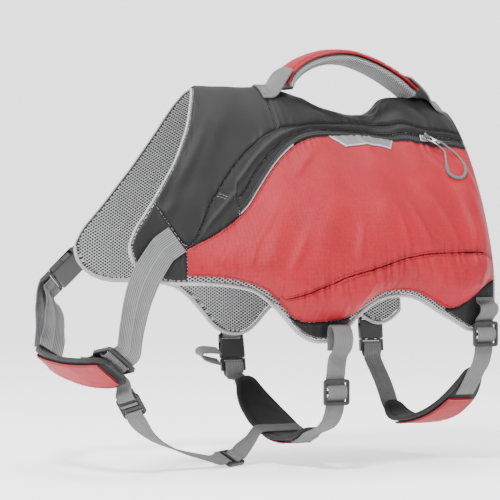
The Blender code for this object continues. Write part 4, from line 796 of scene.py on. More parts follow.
def reflective_tape():
    """Silver grey tape of tiny beads, with a lighter woven border."""
    made, tree, shader, place = new_material("reflective tape", 0.45)
    beads = add_node(tree, "TexVoronoi", Vector=place, Scale=1400.0).outputs["Distance"]
    tone = grouped(tree, UNEVEN_TONE, Place=place, Size=60.0, Depth=0.5)
    fleck = maths(tree, "MULTIPLY_ADD", beads, 0.35, tone.outputs["Tone"])
    field = blended(tree, fleck, (0.085, 0.087, 0.09), (0.16, 0.163, 0.166))
    tinted(tree, shader, marked(tree, "edge", 1.9, 1.5), field, (0.34, 0.345, 0.35))
    bumped(tree, shader, [(beads, 0.05, 0.5)])
    return made


REFLECTIVE = reflective_tape()
for side, suffix in SIDES:
    down = share_rows(8, PATCH_HEIGHT)
    share = down / PATCH_HEIGHT
    across = share_rows(30, 1.0, (0.0, 0.008, 0.017, 0.027, 0.04))
    first = PATCH_TOP[0] + (PATCH_BOTTOM[0] - PATCH_TOP[0]) * share
    last = PATCH_TOP[1] + (PATCH_BOTTOM[1] - PATCH_TOP[1]) * share
    x = first + (last - first) * across[:, None]
    g = pocket_top_line(x) + PATCH_MARGIN + down
    edge = np.minimum(np.minimum(x - first, last - x),
                      np.minimum(down, PATCH_HEIGHT - down) + 0 * x)
    x, g, edge = outwards(side, x, g, edge)
    cloth("patch_tape_" + suffix, [(x, side * g, edge)],
          lambda x, g, edge: pocket_lift(x, g, g - pocket_top_line(x)) + PATCH_OUT,
          PATCH_WALL, REFLECTIVE, "patch_" + suffix)


# Zips
# Black nylon tape is sewn between gusset and pocket, and carries a coil of fine teeth along its
# middle. A thin light trim shows along the front of the pocket's top edge.


def teeth_material():
    """Dull black coil with a painted highlight on the top of each tooth, uneven along the coil."""
    made, tree, shader, place = new_material("zip coil", 0.45)
    raised = add_node(tree, "Attribute", attribute_name="raised").outputs["Fac"]
    tone = grouped(tree, UNEVEN_TONE, Place=place, Size=200.0, Depth=0.5).outputs
    # Painted highlight: the raised tops of the teeth are coloured lighter, by an uneven tone, where
    # light would catch them.
    worn = maths(tree, "MULTIPLY", raised, tone["Tone"])
    tinted(tree, shader, worn, (0.003, 0.003, 0.0033), (0.016, 0.016, 0.0165))
    bumped(tree, shader, [(tone["Height"], 0.05, 0.4)])
    return made


ZIP_BLACK = woven_nylon("zip tape", (0.003, 0.003, 0.0035), (0.010, 0.010, 0.011), 0.75, 0.02, 0.9)
COIL_BLACK = teeth_material()
COIL_PITCH = 1.9
COIL_HALF = 2.3
TRIM = woven_nylon("light trim", (0.20, 0.205, 0.205), (0.36, 0.365, 0.365), 0.7, 0.05, 0.6)
for side, suffix in SIDES:
    xs = columns(ZIP_START_X, REAR_X, 2.0)
    cloth("zip_tape_" + suffix,
          [panel_grid(side, xs, zip_top_line(xs), pocket_top_line(xs), 8)],
          lambda x, g, edge: PANEL_OUT - 0.5 + 0 * x, 0.9, ZIP_BLACK,
          "zip_" + suffix)
    xs = np.arange(ZIP_START_X + 2, REAR_X - 1, 0.3)
    across = np.linspace(-COIL_HALF, COIL_HALF, 12)
    coil_g = pocket_top_line(xs) - 4.6
    x = np.repeat(xs[:, None], 12, axis=1)
    g = coil_g[:, None] + across[None, ::side] * np.hypot(1, np.gradient(coil_g, xs))[:, None]
    run = run_along(np.stack([xs, coil_g], axis=1))
    tooth = 0.5 + 0.5 * np.cos(2 * math.pi * (run[:, None] / COIL_PITCH
                                              + 0.5 * (across[None, ::side] > 0)))
    ridge = (1 - (np.abs(across) / COIL_HALF) ** 4) * (1 - 0.55 * np.exp(-(across / 0.35) ** 2))
    raised = ridge[None, ::side] * (0.35 + 0.65 * tooth)
    points = skin(x, side * g, PANEL_OUT - 0.75 + 1.0 * raised).reshape(-1, 3)
    coil = piece("zip_coil_" + suffix, points, grid_quads(*x.shape),
                 np.stack([x, g], axis=-1).reshape(-1, 2), COIL_BLACK,
                 marks={"raised": raised})
    walled(coil, 0.4)
    xs = np.arange(ZIP_START_X + 1, -66, 1.5)
    ribbon = np.array([-1.9, -1.4, -0.9, -0.5])
    x = np.repeat(xs[:, None], 4, axis=1)
    g = pocket_top_line(xs)[:, None] + ribbon[None, :] * 1.2
    x, g = outwards(side, x, g)
    points = skin(x, side * g, PANEL_OUT + 0.2 + 0 * x).reshape(-1, 3)
    trim = piece("pocket_trim_" + suffix, points, grid_quads(*x.shape),
                 np.stack([x, g], axis=-1).reshape(-1, 2), TRIM)
    walled(trim, 0.8)


# Zip sliders, pull tabs and cord loops
# A stamped steel slider sits on each coil, and its tab swings on the slider's bridge. A thin
# cord is looped through the tab's hole, with a thicker woven sleeve round its lower end.
PULL_PLACE = (82.0, 56.0)
PULL_TILT = math.radians(15)
PULL_LOOP = (
    (101, 68.3, 2.6), (105, 70.5, 1.4), (109.5, 74.5, 0), (113, 81.5, 0), (112.5, 90, 0),
    (107, 98.5, 0), (100, 103.5, 0), (93.4, 103, 0), (89, 98.5, 0), (89.5, 92, 0), (92, 84, 0),
    (94.3, 77, 0.4), (95.2, 71.5, 1.2),
)
CORD_RADIUS = 0.9
SLEEVE_RADIUS = 1.7
TOUCH = 0.3


def cut_corners(rows, times):
    """Chaikin's curve: each step puts points at a quarter and three quarters of every side."""
    rows = np.array(rows, float)
    for _ in range(times):
        low, high = rows[:-1], rows[1:]
        middle = np.stack([low * 0.75 + high * 0.25, low * 0.25 + high * 0.75], axis=1)
        rows = np.concatenate([rows[:1], middle.reshape(-1, rows.shape[1]), rows[-1:]])
    return rows


def frames_along(points, start):
    """Unit side and upward directions along a path, carried on from a start direction."""
    along = unit(np.gradient(points, axis=0))
    sides = []
    side = np.array(start, float)
    for step in along:
        side = unit(side - step * (side @ step))
        sides.append(side)
    sides = np.array(sides)
    return sides, np.cross(along, sides)


def spaced(at, run, path):
    """Points of a path at places along its run."""
    return np.stack([np.interp(at, run, path[:, k]) for k in range(3)], axis=-1)


def swept(name, path, wide, up, u, v, looks, body="jacket", marks=None, closed=False):
    """Profile (u, v) carried along a path; its ring starts at the top middle.

    The UV map holds the way along the path and the way round the ring from its start.
    """
    u = np.broadcast_to(u, (len(path), np.shape(u)[-1]))
    v = np.broadcast_to(v, u.shape)
    ring = path[:, None] + wide[:, None] * u[..., None] + up[:, None] * v[..., None]
    rows, count = u.shape
    steps = np.hypot(np.diff(u, axis=1, append=u[:, :1]), np.diff(v, axis=1, append=v[:, :1]))
    round_way = np.cumsum(steps, axis=1) - steps
    round_way = np.minimum(round_way, steps.sum(axis=1, keepdims=True) - round_way)
    along = np.repeat(run_along(path)[:, None], count, axis=1)
    places = np.stack([along, round_way], axis=-1).reshape(-1, 2)
    faces = grid_quads(rows, count, closed=True).tolist()
    points = ring.reshape(-1, 3)
    last = (rows - 1) * count
    if closed:
        faces += [[last + k, k, (k + 1) % count, last + (k + 1) % count] for k in range(count)]
    else:
        points = np.concatenate([points, ring[0].mean(0)[None], ring[-1].mean(0)[None]])
        places = np.concatenate([places, places[:1], places[-1:]])
        faces += [[(k + 1) % count, k, rows * count] for k in range(count)]
        faces += [[last + k, last + (k + 1) % count, rows * count + 1] for k in range(count)]
        marks = {key: np.concatenate([np.broadcast_to(values, u.shape).ravel(),
                                      [np.ravel(values)[0]] * 2])
                 for key, values in (marks or {}).items()}
    a, b, c = (points[[face[k] for face in faces]] - points.mean(0) for k in range(3))
    if np.sum(a * np.cross(b, c)) < 0:
        faces = [face[::-1] for face in faces]
    return piece(name, points, faces, places, looks, body, marks)


def hard_material(name, size, low, high):
    """Material on Object coordinates, its roughness between two values by an uneven tone."""
    made = bpy.data.materials.new(name)
    made.use_nodes = True
    tree = made.node_tree
    shader = tree.nodes["Principled BSDF"]
    place = add_node(tree, "TexCoord").outputs["Object"]
    tone = grouped(tree, UNEVEN_TONE, Place=place, Size=size, Depth=0.7).outputs
    rough = add_node(tree, "MapRange", Value=tone["Tone"], To_Min=low, To_Max=high)
    tree.links.new(rough.outputs[0], shader.inputs["Roughness"])
    return made, tree, shader, place, tone


def worn_steel():
    """Nickel-plated steel with finely scratched gloss."""
    made, tree, shader, place, tone = hard_material("worn steel", 220.0, 0.22, 0.42)
    shader.inputs["Metallic"].default_value = 1.0
    tinted(tree, shader, tone["Tone"], (0.20, 0.20, 0.205), (0.50, 0.50, 0.51))
    bumped(tree, shader, [(tone["Height"], 0.04, 0.3)])
    return made


def bevelled(made, width, angle=40):
    """Small round edges wherever two faces meet at more than an angle in degrees."""
    bevel = made.modifiers.new("edges", "BEVEL")
    bevel.width = width * MM
    bevel.segments = 2
    bevel.limit_method = "ANGLE"
    bevel.angle_limit = math.radians(angle)


def finished(node, looks, width):
    """A hard part that keeps its own solid: its material, doubled points joined, round edges."""
    part = bpy.data.objects[node]
    part.data.materials.clear()
    part.data.materials.append(looks)
    weld(part, 0.01)
    bevelled(part, width)


def twisted(name, dark, light, pitch, width):
    """Twisted or braided yarn: slanting bands from the way along and the way round."""
    made, tree, shader, place = new_material(name, 0.75, sheen=0.05)
    split = add_node(tree, "SeparateXYZ", _0=place).outputs
    both = maths(tree, "ADD", maths(tree, "DIVIDE", split["X"], pitch * MM),
                 maths(tree, "DIVIDE", split["Y"], width * MM))
    band = wave(tree, both, 1.0)
    tone = grouped(tree, UNEVEN_TONE, Place=place, Size=90.0, Depth=0.4).outputs["Tone"]
    tinted(tree, shader, maths(tree, "MULTIPLY_ADD", band, 0.3, tone), dark, light)
    bumped(tree, shader, [(band, 0.25, 0.7)])
    return made


STEEL = worn_steel()
CORD_GREY = twisted("pull cord", (0.045, 0.055, 0.052), (0.20, 0.22, 0.215), 1.1, 1.6)
SLEEVE_GREY = twisted("cord sleeve", (0.055, 0.07, 0.066), (0.16, 0.185, 0.178), 1.4, 1.2)
TURN = np.linspace(0, 2 * math.pi, 12, endpoint=False)
for side, suffix in SIDES:
    x, g = PULL_PLACE
    floor = PANEL_OUT - 0.5 + TOUCH + 0.15
    centre = Vector(skin(x, side * g, floor))
    out = (Vector(skin(x, side * g, floor + 1)) - centre).normalized()
    along_zip = (Vector(skin(x + 1, side * g, floor)) - centre).normalized()
    down = (Vector(skin(x, side * (g + 1), floor)) - centre).normalized()
    tab = (along_zip + down).normalized()
    pin = centre + out * 3.3
    lean = tab * math.cos(PULL_TILT) + out * math.sin(PULL_TILT)
    lift = out * math.cos(PULL_TILT) - tab * math.sin(PULL_TILT)
    across = lean.cross(lift)
    right = across if across.dot(along_zip - down) > 0 else -across
    route = [pin + right * a + lean * s + lift * w
             for a, s, w in ((0, 11.6, 0.2), (0, 11.6, 1.2), (0.3, 13.0, 2.3), (1.0, 15.6, 2.6))]
    for place_x, place_g, height in PULL_LOOP:
        base = float(pocket_out(place_x, place_g)) + POCKET_WALL + TOUCH + CORD_RADIUS + 0.6
        route.append(Vector(skin(place_x, side * place_g, base + height)))
    route += [pin + right * a + lean * s + lift * w
              for a, s, w in ((-0.9, 16.4, -1.9), (-0.3, 13.7, -2.4), (0, 11.9, -1.3))]
    route = cut_corners(route, 3)
    data = bpy.data.curves.new("pull_loop_" + suffix, "CURVE")
    data.dimensions = "3D"
    data.bevel_depth = CORD_RADIUS * MM
    data.bevel_resolution = 3
    data.use_fill_caps = True
    spline = data.splines.new("POLY")
    spline.points.add(len(route) - 1)
    spline.points.foreach_set("co", np.column_stack([route * MM, np.ones(len(route))]).ravel())
    data.materials.append(CORD_GREY)
    loop = placed("pull_loop_" + suffix, data)
    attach(loop, "pull_" + suffix)
    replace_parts(loop, "pull_cord_" + suffix)
    run = run_along(route)
    places = np.linspace(run[-1] * 0.30, run[-1] * 0.74, 60)
    bend = spaced(places, run, route)
    ends = np.clip(np.minimum(places - places[0], places[-1] - places) / 1.2, 0, 1)
    radius = (CORD_RADIUS + (SLEEVE_RADIUS - CORD_RADIUS) * np.sqrt(ends))[:, None]
    sleeve_side, sleeve_up = frames_along(bend, out)
    sleeve = swept("cord_sleeve_" + suffix, bend, sleeve_side, sleeve_up,
                   radius * np.sin(TURN), radius * np.cos(TURN), SLEEVE_GREY,
                   "pull_" + suffix)
    finished("slider_" + suffix, STEEL, 0.25)
    finished("pull_tab_" + suffix, STEEL, 0.2)


# Light piping
# A twisted light cord is sewn into the whole edge: round the neck, down both fronts, along the
# hems and across the rear. It is thinner round the neck and the rear than on the hems, and round
# the neck the side that faces the dog is bound in charcoal.
PIPING_NECK_RADIUS = 1.3
PIPING_HEM_RADIUS = 1.8
PIPING_OUT = 1.7
PIPING_STEP = 0.8
PIPING_TWIST = 6.5


def slope_of(xs, rows):
    """Slope of a line of the cloth: its rise over two millimetres."""
    return (smooth(xs + 1, rows) - smooth(xs - 1, rows)) / 2


def beyond_line(xs, rows, radius, out):
    """Places just outside an edge line of the cloth, moved off it square to the line."""
    slope = slope_of(xs, rows)
    away = (radius + TOUCH) / np.hypot(1, slope)
    return np.stack([xs - slope * away * out, smooth(xs, rows) + away * out,
                     np.full(len(xs), radius)], axis=1)


def piping_loop():
    """The cord's centre line and radius, once round the jacket, in even steps."""
    neck = beyond_line(np.linspace(NECK_X - 1, FRONT_X, 60), NECK_EDGE, PIPING_NECK_RADIUS, -1)
    hem = beyond_line(np.linspace(FRONT_X, REAR_X, 150), HEM, PIPING_HEM_RADIUS, 1)
    rear_g = np.linspace(float(hem_line(REAR_X)) - 6, 6, 40)
    rear = np.stack([np.full(40, REAR_X + PIPING_NECK_RADIUS + TOUCH), rear_g,
                     np.full(40, PIPING_NECK_RADIUS)], axis=1)
    half = np.concatenate([neck[neck[:, 1] > 3], hem, rear])
    top = np.array([[NECK_X - PIPING_NECK_RADIUS - TOUCH, 0, PIPING_NECK_RADIUS]])
    end = np.array([[REAR_X + PIPING_NECK_RADIUS + TOUCH, 0, PIPING_NECK_RADIUS]])
    loop = np.concatenate([top, half, end, (half * (1, -1, 1))[::-1], top])
    points = skin(loop[:, 0], loop[:, 1], np.full(len(loop), PIPING_OUT))
    run = run_along(points)
    even = np.linspace(0, run[-1], int(run[-1] / PIPING_STEP), endpoint=False)
    points = spaced(even, run, points)
    for _ in range(4):
        points = (np.roll(points, 1, axis=0) + points * 2 + np.roll(points, -1, axis=0)) / 4
    return points, np.interp(even, run, loop[:, 2]), even, run[-1]


points, radius, run, whole = piping_loop()
along = unit(np.roll(points, -1, axis=0) - np.roll(points, 1, axis=0))
sideways = unit(np.cross(along, points - points.mean(axis=0)))
upward = np.cross(along, sideways)
turns = round(whole / PIPING_TWIST)
strands = radius[:, None] * (0.93 + 0.15 * np.abs(np.cos(
    TURN[None, :] - 2 * math.pi * turns * run[:, None] / whole)))


def charcoal_behind(made):
    """Round the neck, the side of the cord that faces the dog is bound in charcoal."""
    tree = made.node_tree
    shader = tree.nodes["Principled BSDF"]
    yarn = shader.inputs["Base Color"].links[0].from_socket
    inner = add_node(tree, "Attribute", attribute_name="inner").outputs["Fac"]
    tinted(tree, shader, inner, yarn, (0.006, 0.006, 0.0065))


PIPING = twisted("light piping", (0.20, 0.203, 0.203), (0.50, 0.505, 0.50), PIPING_TWIST / 2, 2.4)
charcoal_behind(PIPING)
on_neck = ((radius < 1.5) & (points[:, 0] < -100))[:, None]
inner = on_neck * np.clip(0.5 + 2.2 * np.cos(TURN), 0, 1)[None, :]
piping = swept("piping_cord", points, sideways, upward, strands * np.sin(TURN),
               strands * np.cos(TURN), PIPING, closed=True,
               marks={"inner": inner})
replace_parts(piping, "edge_piping")


# Padded handle
# Red nylon over the top of a spacer mesh pad, bent into an arch. Wide grey webbing, sewn flat on
# the back before and behind it, comes up over each of its ends.
HANDLE_WEB = 38.0
WEB_THICK = 1.6
HANDLE_TOP = (
    (-60, 31.5), (-55, 41), (-46, 50.5), (-33, 58.5), (-15, 64.5), (4.5, 67), (20, 66),
    (34, 62.5), (57, 53.5), (79.5, 40.8), (93, 30.8),
)
HANDLE_COVER_WALL = 2.6
HANDLE_PAD_THICK = 12.5
HANDLE_WIDTH = 39.0
HANDLE_CROWN = 3.0


def through(rows, count):
    """Smooth curve through the rows, at count points evenly spread over its chord length."""
    rows = np.array(rows, float)
    chord = run_along(rows[:, :3])
    places = np.linspace(0, chord[-1], count)
    return np.stack([smooth(places, np.stack([chord, column], axis=1)) for column in rows.T],
                    axis=-1)


def frames(points, across):
    """Unit width and normal directions along a path."""
    along = unit(np.gradient(points, axis=0))
    wide = unit(across - along * np.sum(along * across, axis=1, keepdims=True))
    return wide, np.cross(along, wide)


def handle_path(count):
    """Points along the top of the handle, with its width and upward directions."""
    rows = [(x, 0, z, 0, 1, 0) for x, z in HANDLE_TOP]
    data = through(rows, count)
    wide, normal = frames(data[:, :3], data[:, 3:])
    return data[:, :3], wide, normal


def flat_ring(half, height, steps=10):
    """Ring of a flat band from its top middle: straight faces and half round edges."""
    flat = half - height
    edge = np.linspace(math.pi / 2, -math.pi / 2, 7)
    top = np.linspace(0, flat, steps)
    right_u = np.concatenate([top[:-1], flat + height * np.cos(edge), top[::-1][1:-1]])
    right_v = np.concatenate([np.full(steps - 1, height), height * np.sin(edge),
                              np.full(steps - 2, -height)])
    return (np.concatenate([right_u, [0], -right_u[::-1][:-1]]),
            np.concatenate([right_v, [-height], right_v[::-1][:-1]]))


def ribbed_cloth(name, dark, light, rib, cross, lengthways):
    """Woven webbing: ribs across the band, and fine threads along it painted as light and dark
    stripes.
    """
    made, tree, shader, place = new_material(name, 0.8, sheen=0.04)
    split = add_node(tree, "SeparateXYZ", _0=place).outputs
    ribs = wave(tree, split["X"], rib * MM)
    threads = wave(tree, split["Y"], cross * MM)
    tone = grouped(tree, UNEVEN_TONE, Place=place, Size=70.0, Depth=0.45).outputs
    both = maths(tree, "MULTIPLY", ribs, threads)
    shade = maths(tree, "MULTIPLY_ADD", both, 0.22, tone["Tone"])
    # Painted shade: stripes along the band, as strong as lengthways, stand for the shade between its
    # lengthwise ribs and threads.
    shade = maths(tree, "MULTIPLY_ADD", threads, lengthways, shade)
    tinted(tree, shader, shade, dark, light)
    bumped(tree, shader, [(tone["Height"], 0.4, 0.3), (ribs, 0.12, 0.55), (both, 0.10, 0.6)])
    return made


WEB_GREY = ribbed_cloth("grey webbing", (0.055, 0.055, 0.057), (0.165, 0.165, 0.168), 1.7, 2.5, 0.12)
HANDLE_MESH = spacer_mesh("handle mesh", 3.6)
path, wide, up = handle_path(110)
share = np.linspace(0, 1, 110)[:, None]
half_wide = HANDLE_WIDTH / 2
u, v = flat_ring(half_wide + 0.2, HANDLE_COVER_WALL / 2, 18)
along = share * 176.0
cushion_waves = np.sin(2 * math.pi * (along / 7.5 + 0.3 * np.sin(along / 9.0)))
edge_fade = np.exp(-((np.abs(u) - half_wide) / 5.0) ** 2)
waves = 0.28 * cushion_waves * edge_fade + ripples(along, u, 8.0, 0.25)
cover_v = v - HANDLE_COVER_WALL / 2 - HANDLE_CROWN * (u / half_wide) ** 2 + waves * (v > 0)
cover = swept("handle_cloth", path, wide, up, u + 0 * share, cover_v, RED)
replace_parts(cover, "handle_cover")
turn = np.linspace(0, 2 * math.pi, 64, endpoint=False)
half = half_wide - 0.6
body_u = half * np.sign(np.sin(turn)) * np.abs(np.sin(turn)) ** 0.55
body_v = np.sign(np.cos(turn)) * np.abs(np.cos(turn)) ** 0.7 * (HANDLE_PAD_THICK / 2 - 0.1)
narrow = 1 - 0.12 * np.clip(-body_v / (HANDLE_PAD_THICK / 2), 0, 1) ** 2
drop = HANDLE_COVER_WALL + TOUCH + HANDLE_PAD_THICK / 2
crown = HANDLE_CROWN * (body_u / half_wide) ** 2 * np.clip(0.5 + body_v / 6, 0, 1)
tight = 1 - sum(0.16 * np.exp(-((share - end) / 0.05) ** 2) for end in (0.03, 0.97))
pad = swept("handle_cushion", path, wide, up, body_u * narrow + 0 * share,
            (body_v * tight) - drop - crown, HANDLE_MESH)
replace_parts(pad, "handle_pad")


def anchor_web(name, skin_xs, free_rows, cover_steps, node):
    """Wide webbing sewn flat on the back, rising to lie on an end of the handle.

    Its rows keep the back's own curve across, which flattens as it rises off the cloth.
    """
    count = 23
    girths = np.linspace(-1, 1, count) * HANDLE_WEB * 0.57
    girths = girths * (1 - 0.012 * np.abs(girths) / 20)
    path, _, up = handle_path(41)
    rows = [skin(np.full(count, float(x)), girths,
                 PANEL_OUT + TOUCH + 0.5 + folds(x, np.abs(girths), TOP_FOLDS)) for x in skin_xs]
    base = rows[-1]
    fall = base[count // 2, 2] - base[:, 2]
    lying = [path[k] + up[k] * TOUCH * 1.6 for k in cover_steps]
    for x, z, droop in list(free_rows) + [(point[0], point[2], 0.27) for point in lying]:
        rows.append(np.stack([np.full(count, x), base[:, 1], z - droop * fall], axis=1))
    rows = cut_corners(np.array(rows).reshape(len(rows), -1), 3)
    grid = rows.reshape(len(rows), count, 3)
    run = run_along(grid[:, count // 2])
    places = np.stack(np.meshgrid(run, girths, indexing="ij"), axis=-1)
    faces = grid_quads(len(grid), count)
    if skin_xs[0] > skin_xs[-1]:
        faces = faces[:, ::-1]
    made = piece(name, grid.reshape(-1, 3), faces, places.reshape(-1, 2), WEB_GREY)
    walled(made, WEB_THICK, 1)
    bevelled(made, 0.5, 50)
    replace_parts(made, node)


anchor_web("handle_anchor_front", (-84, -79, -74), ((-68.5, 29.3, 0.9), (-63, 33.5, 0.6)),
           (2, 3, 4), "handle_web_front")
anchor_web("handle_anchor_rear", (115, 111, 107), ((102.5, 23.0, 0.8), (98.5, 28.0, 0.5)),
           (39, 38, 36), "handle_web_rear")


# Belly bands
# Each is 20 mm grey webbing from the near hem through a glide to a padded leaf under the belly,
# and on to a buckle on the far side. The leaf is black foam cloth with a bound edge, and carries
# a red cover on its outer face.
BELLY_WEB = 20.0
PAD_ROWS = 15
PAD_BINDING = 5.0
COVER_WALL = 0.75
COVER_RING = 0.12
PAD_FACE = 3.0 + TOUCH + WEB_THICK / 2 + 0.1
BELLY_FEMALE = 26.0
GLIDE_WEAVE = (
    (-13, -3.1), (-9.6, -3.1), (-7.8, -2.5), (-5.4, 0.0), (-3.0, 2.5), (0, 3.4), (3.0, 2.5),
    (5.4, 0.0), (7.8, -2.5), (9.6, -3.1), (13, -3.1),
)
FEMALE_FOLD = (
    (-6, -1.1), (-2.2, -2.0), (0.2, -3.0), (2.4, -3.1), (4.0, -2.0), (4.5, 0), (4.0, 2.0),
    (2.4, 3.1), (0.2, 3.0), (-2.2, 2.0), (-6, 1.1), (-11, 1.1),
)
MALE_FOLD = (
    (17.5, -1.2), (13.8, -3.1), (11.5, -3.4), (6.5, -3.4), (4.3, -3.1), (3.0, -1.7), (2.9, 0),
    (3.0, 1.7), (4.3, 3.1), (6.5, 3.4), (11.5, 3.4), (13.8, 3.1), (17.5, 1.2),
)
FRONT_PAD = {
    "rows": ((-50, -60, -306.5, 1, 0, 0), (-50, -50, -312, 1, 0, 0), (-50, -28, -318, 1, 0, 0),
             (-50, -5, -317, 1, 0, 0), (-50, 20, -310, 1, 0, 0), (-50, 45, -299.5, 1, 0, 0),
             (-51, 62, -290, 1, 0, 0), (-53, 76, -278, 1, 0, 0), (-56, 84, -264, 1, 0, 0)),
    "half_widths": ((0, 9), (0.06, 14), (0.2, 20), (0.4, 24.5), (0.6, 25), (0.8, 21),
                    (0.94, 14), (1, 9)),
    "cover": (0.2, 0.82),
}
REAR_PAD = {
    "rows": ((115, -89, -250, 1, 0, 0), (115, -77, -264, 1, 0, 0), (115, -58, -280, 1, 0, 0),
             (114, -35, -293, 1, 0, 0), (113, -8, -302, 1, 0, 0), (112, 20, -307, 1, 0, 0),
             (111, 45, -308, 1, 0, 0), (110, 62, -303, 1, 0, 0), (109, 73, -293, 1, 0, 0)),
    "half_widths": ((0, 9), (0.06, 13), (0.2, 19), (0.4, 23), (0.6, 24), (0.8, 21),
                    (0.94, 14), (1, 9)),
    "cover": (0.22, 0.82),
}
FRONT_GLIDE = (-48, -108.4, -268.5)
FRONT_LOOP = (
    (-46, -104.6, -229), (-46, -104.6, -218), (-46, -104.9, -210), (-46, -105.9, -206),
    (-46, -108.7, -204), (-46, -112.5, -204.6), (-46, -117, -208.5), (-46, -119.8, -215),
    (-46, -119.3, -222.5), (-46, -115.5, -228.5), (-46, -110.5, -231.8), (-46, -107.5, -234.5),
    (-46.5, -106, -240), (-47, -105.5, -249),
)
FRONT_FALL = ((-49, -104.3, -289), (-49.4, -98.5, -297), (-49.7, -89, -303), (-50, -78, -306.3),
              (-50, -70, -308.5))
REAR_GLIDE = (117, -106.4, -216)
REAR_LOOP = (
    (118, -103.6, -180), (118, -103.8, -182.5), (118, -104.9, -184.6), (118, -107.7, -185.8),
    (118, -111.5, -187.5), (118, -113, -191.5), (117.8, -110.8, -196), (117.5, -106.8, -199),
)
REAR_FALL = ((116.5, -102.6, -236), (116, -99.6, -244), (115.7, -95.5, -249.5))
FRONT_BUCKLE = (-61, 106.5, -220.3)
FRONT_BUCKLE_DOWN = (0, -0.2, -0.98)
FRONT_FAR = ((-57.5, 91.3, -265.5, 1, 0, 0),)
FRONT_ANCHOR = ((-61, 249), (-61, 255))
REAR_BUCKLE = (101, 106.2, -203)
REAR_BUCKLE_DOWN = (0, -0.1, -0.995)
REAR_FAR = ((107, 83, -279, 1, 0, 0), (104, 93, -262, 1, 0, 0), (102, 99.5, -252, 1, 0, 0))
REAR_ANCHOR = ((101, 226), (101, 231))
FRONT_TAIL = (
    (-75.4, 103.5, -238, 0, 0.95, 0.3), (-84, 104, -236.8, 0, 0.95, 0.3),
    (-91, 104.5, -236.4, 0, 0.95, 0.3), (-95.5, 104.8, -238, 0, 0.95, 0.3),
    (-96.3, 104.8, -241.5, 0, 0.95, 0.3), (-93, 104.5, -244.8, 0, 0.95, 0.3),
    (-85, 103.8, -247.3, 0, 0.95, 0.3), (-75.4, 103, -249.5, 0, 0.95, 0.3),
)


def weave(centre, across, along, places, out=1, shift=0.0):
    """Webbing rows from places along a piece and over its middle, towards out times its Z."""
    u = Vector(along).normalized()
    a = (Vector(across) - u * Vector(across).dot(u)).normalized()
    w = a.cross(u) * out
    return [(*(Vector(centre) + u * (place + shift) + w * height), *a) for place, height in places]


def pad_path(pad, count):
    """Centre line of a band's pad with its width and outward directions."""
    data = through(pad["rows"], count)
    wide, normal = frames(data[:, :3], data[:, 3:])
    return data[:, :3], wide, normal


def pad_half_width(pad, share):
    """Half the pad's width at a share of its length, as its own widths say."""
    return np.interp(share, *np.array(pad["half_widths"], float).T)


def on_pad_at(pad, share, sideways, depth):
    """Point at a share of a pad's length, sideways over it, at a depth from its middle plane."""
    point, w, n = (spaced(share * (PAD_ROWS - 1), range(PAD_ROWS), values)
                   for values in pad_path(pad, PAD_ROWS))
    return point + w * sideways + n * depth


def pad_rows(pad, shares, sideways, depth):
    """Rows for webbing that lies along a pad, as wide as the pad's own width direction."""
    return [(*on_pad_at(pad, share, sideways, depth),
             *(on_pad_at(pad, share, 1, 0) - on_pad_at(pad, share, 0, 0))) for share in shares]


def webbing(name, rows, width, looks, node, ribs=0):
    """Flat band along rows of place and width direction, with its corners rounded off.

    ribs raises that many rounded ribs along both faces, as in elastic.
    """
    rows = cut_corners(np.array(rows, float), 3)
    wide, up = frames(rows[:, :3], rows[:, 3:])
    u, v = flat_ring(width / 2, WEB_THICK / 2, 5 * ribs // 2 or 6)
    if ribs:
        rib = 0.2 * (np.cos(2 * math.pi * u * ribs / width) - 1)
        v = v + np.sign(v) * rib * (np.abs(v) > WEB_THICK / 2 - 0.01)
    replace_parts(swept(name, rows[:, :3], wide, up, u, v, looks), node)


def grey_web(name, rows, node, width=BELLY_WEB):
    """Plain grey webbing."""
    webbing(name, rows, width, WEB_GREY, node)


def padding_material():
    """Black brushed foam cloth with a dark grey ribbed binding round its edge."""
    made, tree, shader, place = new_material("bound padding", 0.85, sheen=0.06)
    tone = grouped(tree, UNEVEN_TONE, Place=place, Size=80.0, Depth=0.6).outputs
    knit = grouped(tree, PLAIN_WEAVE, Place=place, Pitch=0.0013).outputs["Height"]
    face = blended(tree, tone["Tone"], (0.003, 0.003, 0.0032), (0.010, 0.010, 0.011))
    binding = blended(tree, tone["Tone"], (0.008, 0.008, 0.0085), (0.022, 0.022, 0.023))
    tinted(tree, shader, marked(tree, "bound", 0.35, 0.65), face, binding)
    bumped(tree, shader, [(tone["Height"], 0.5, 0.3), (knit, 0.1, 0.6)])
    return made


PADDING = padding_material()


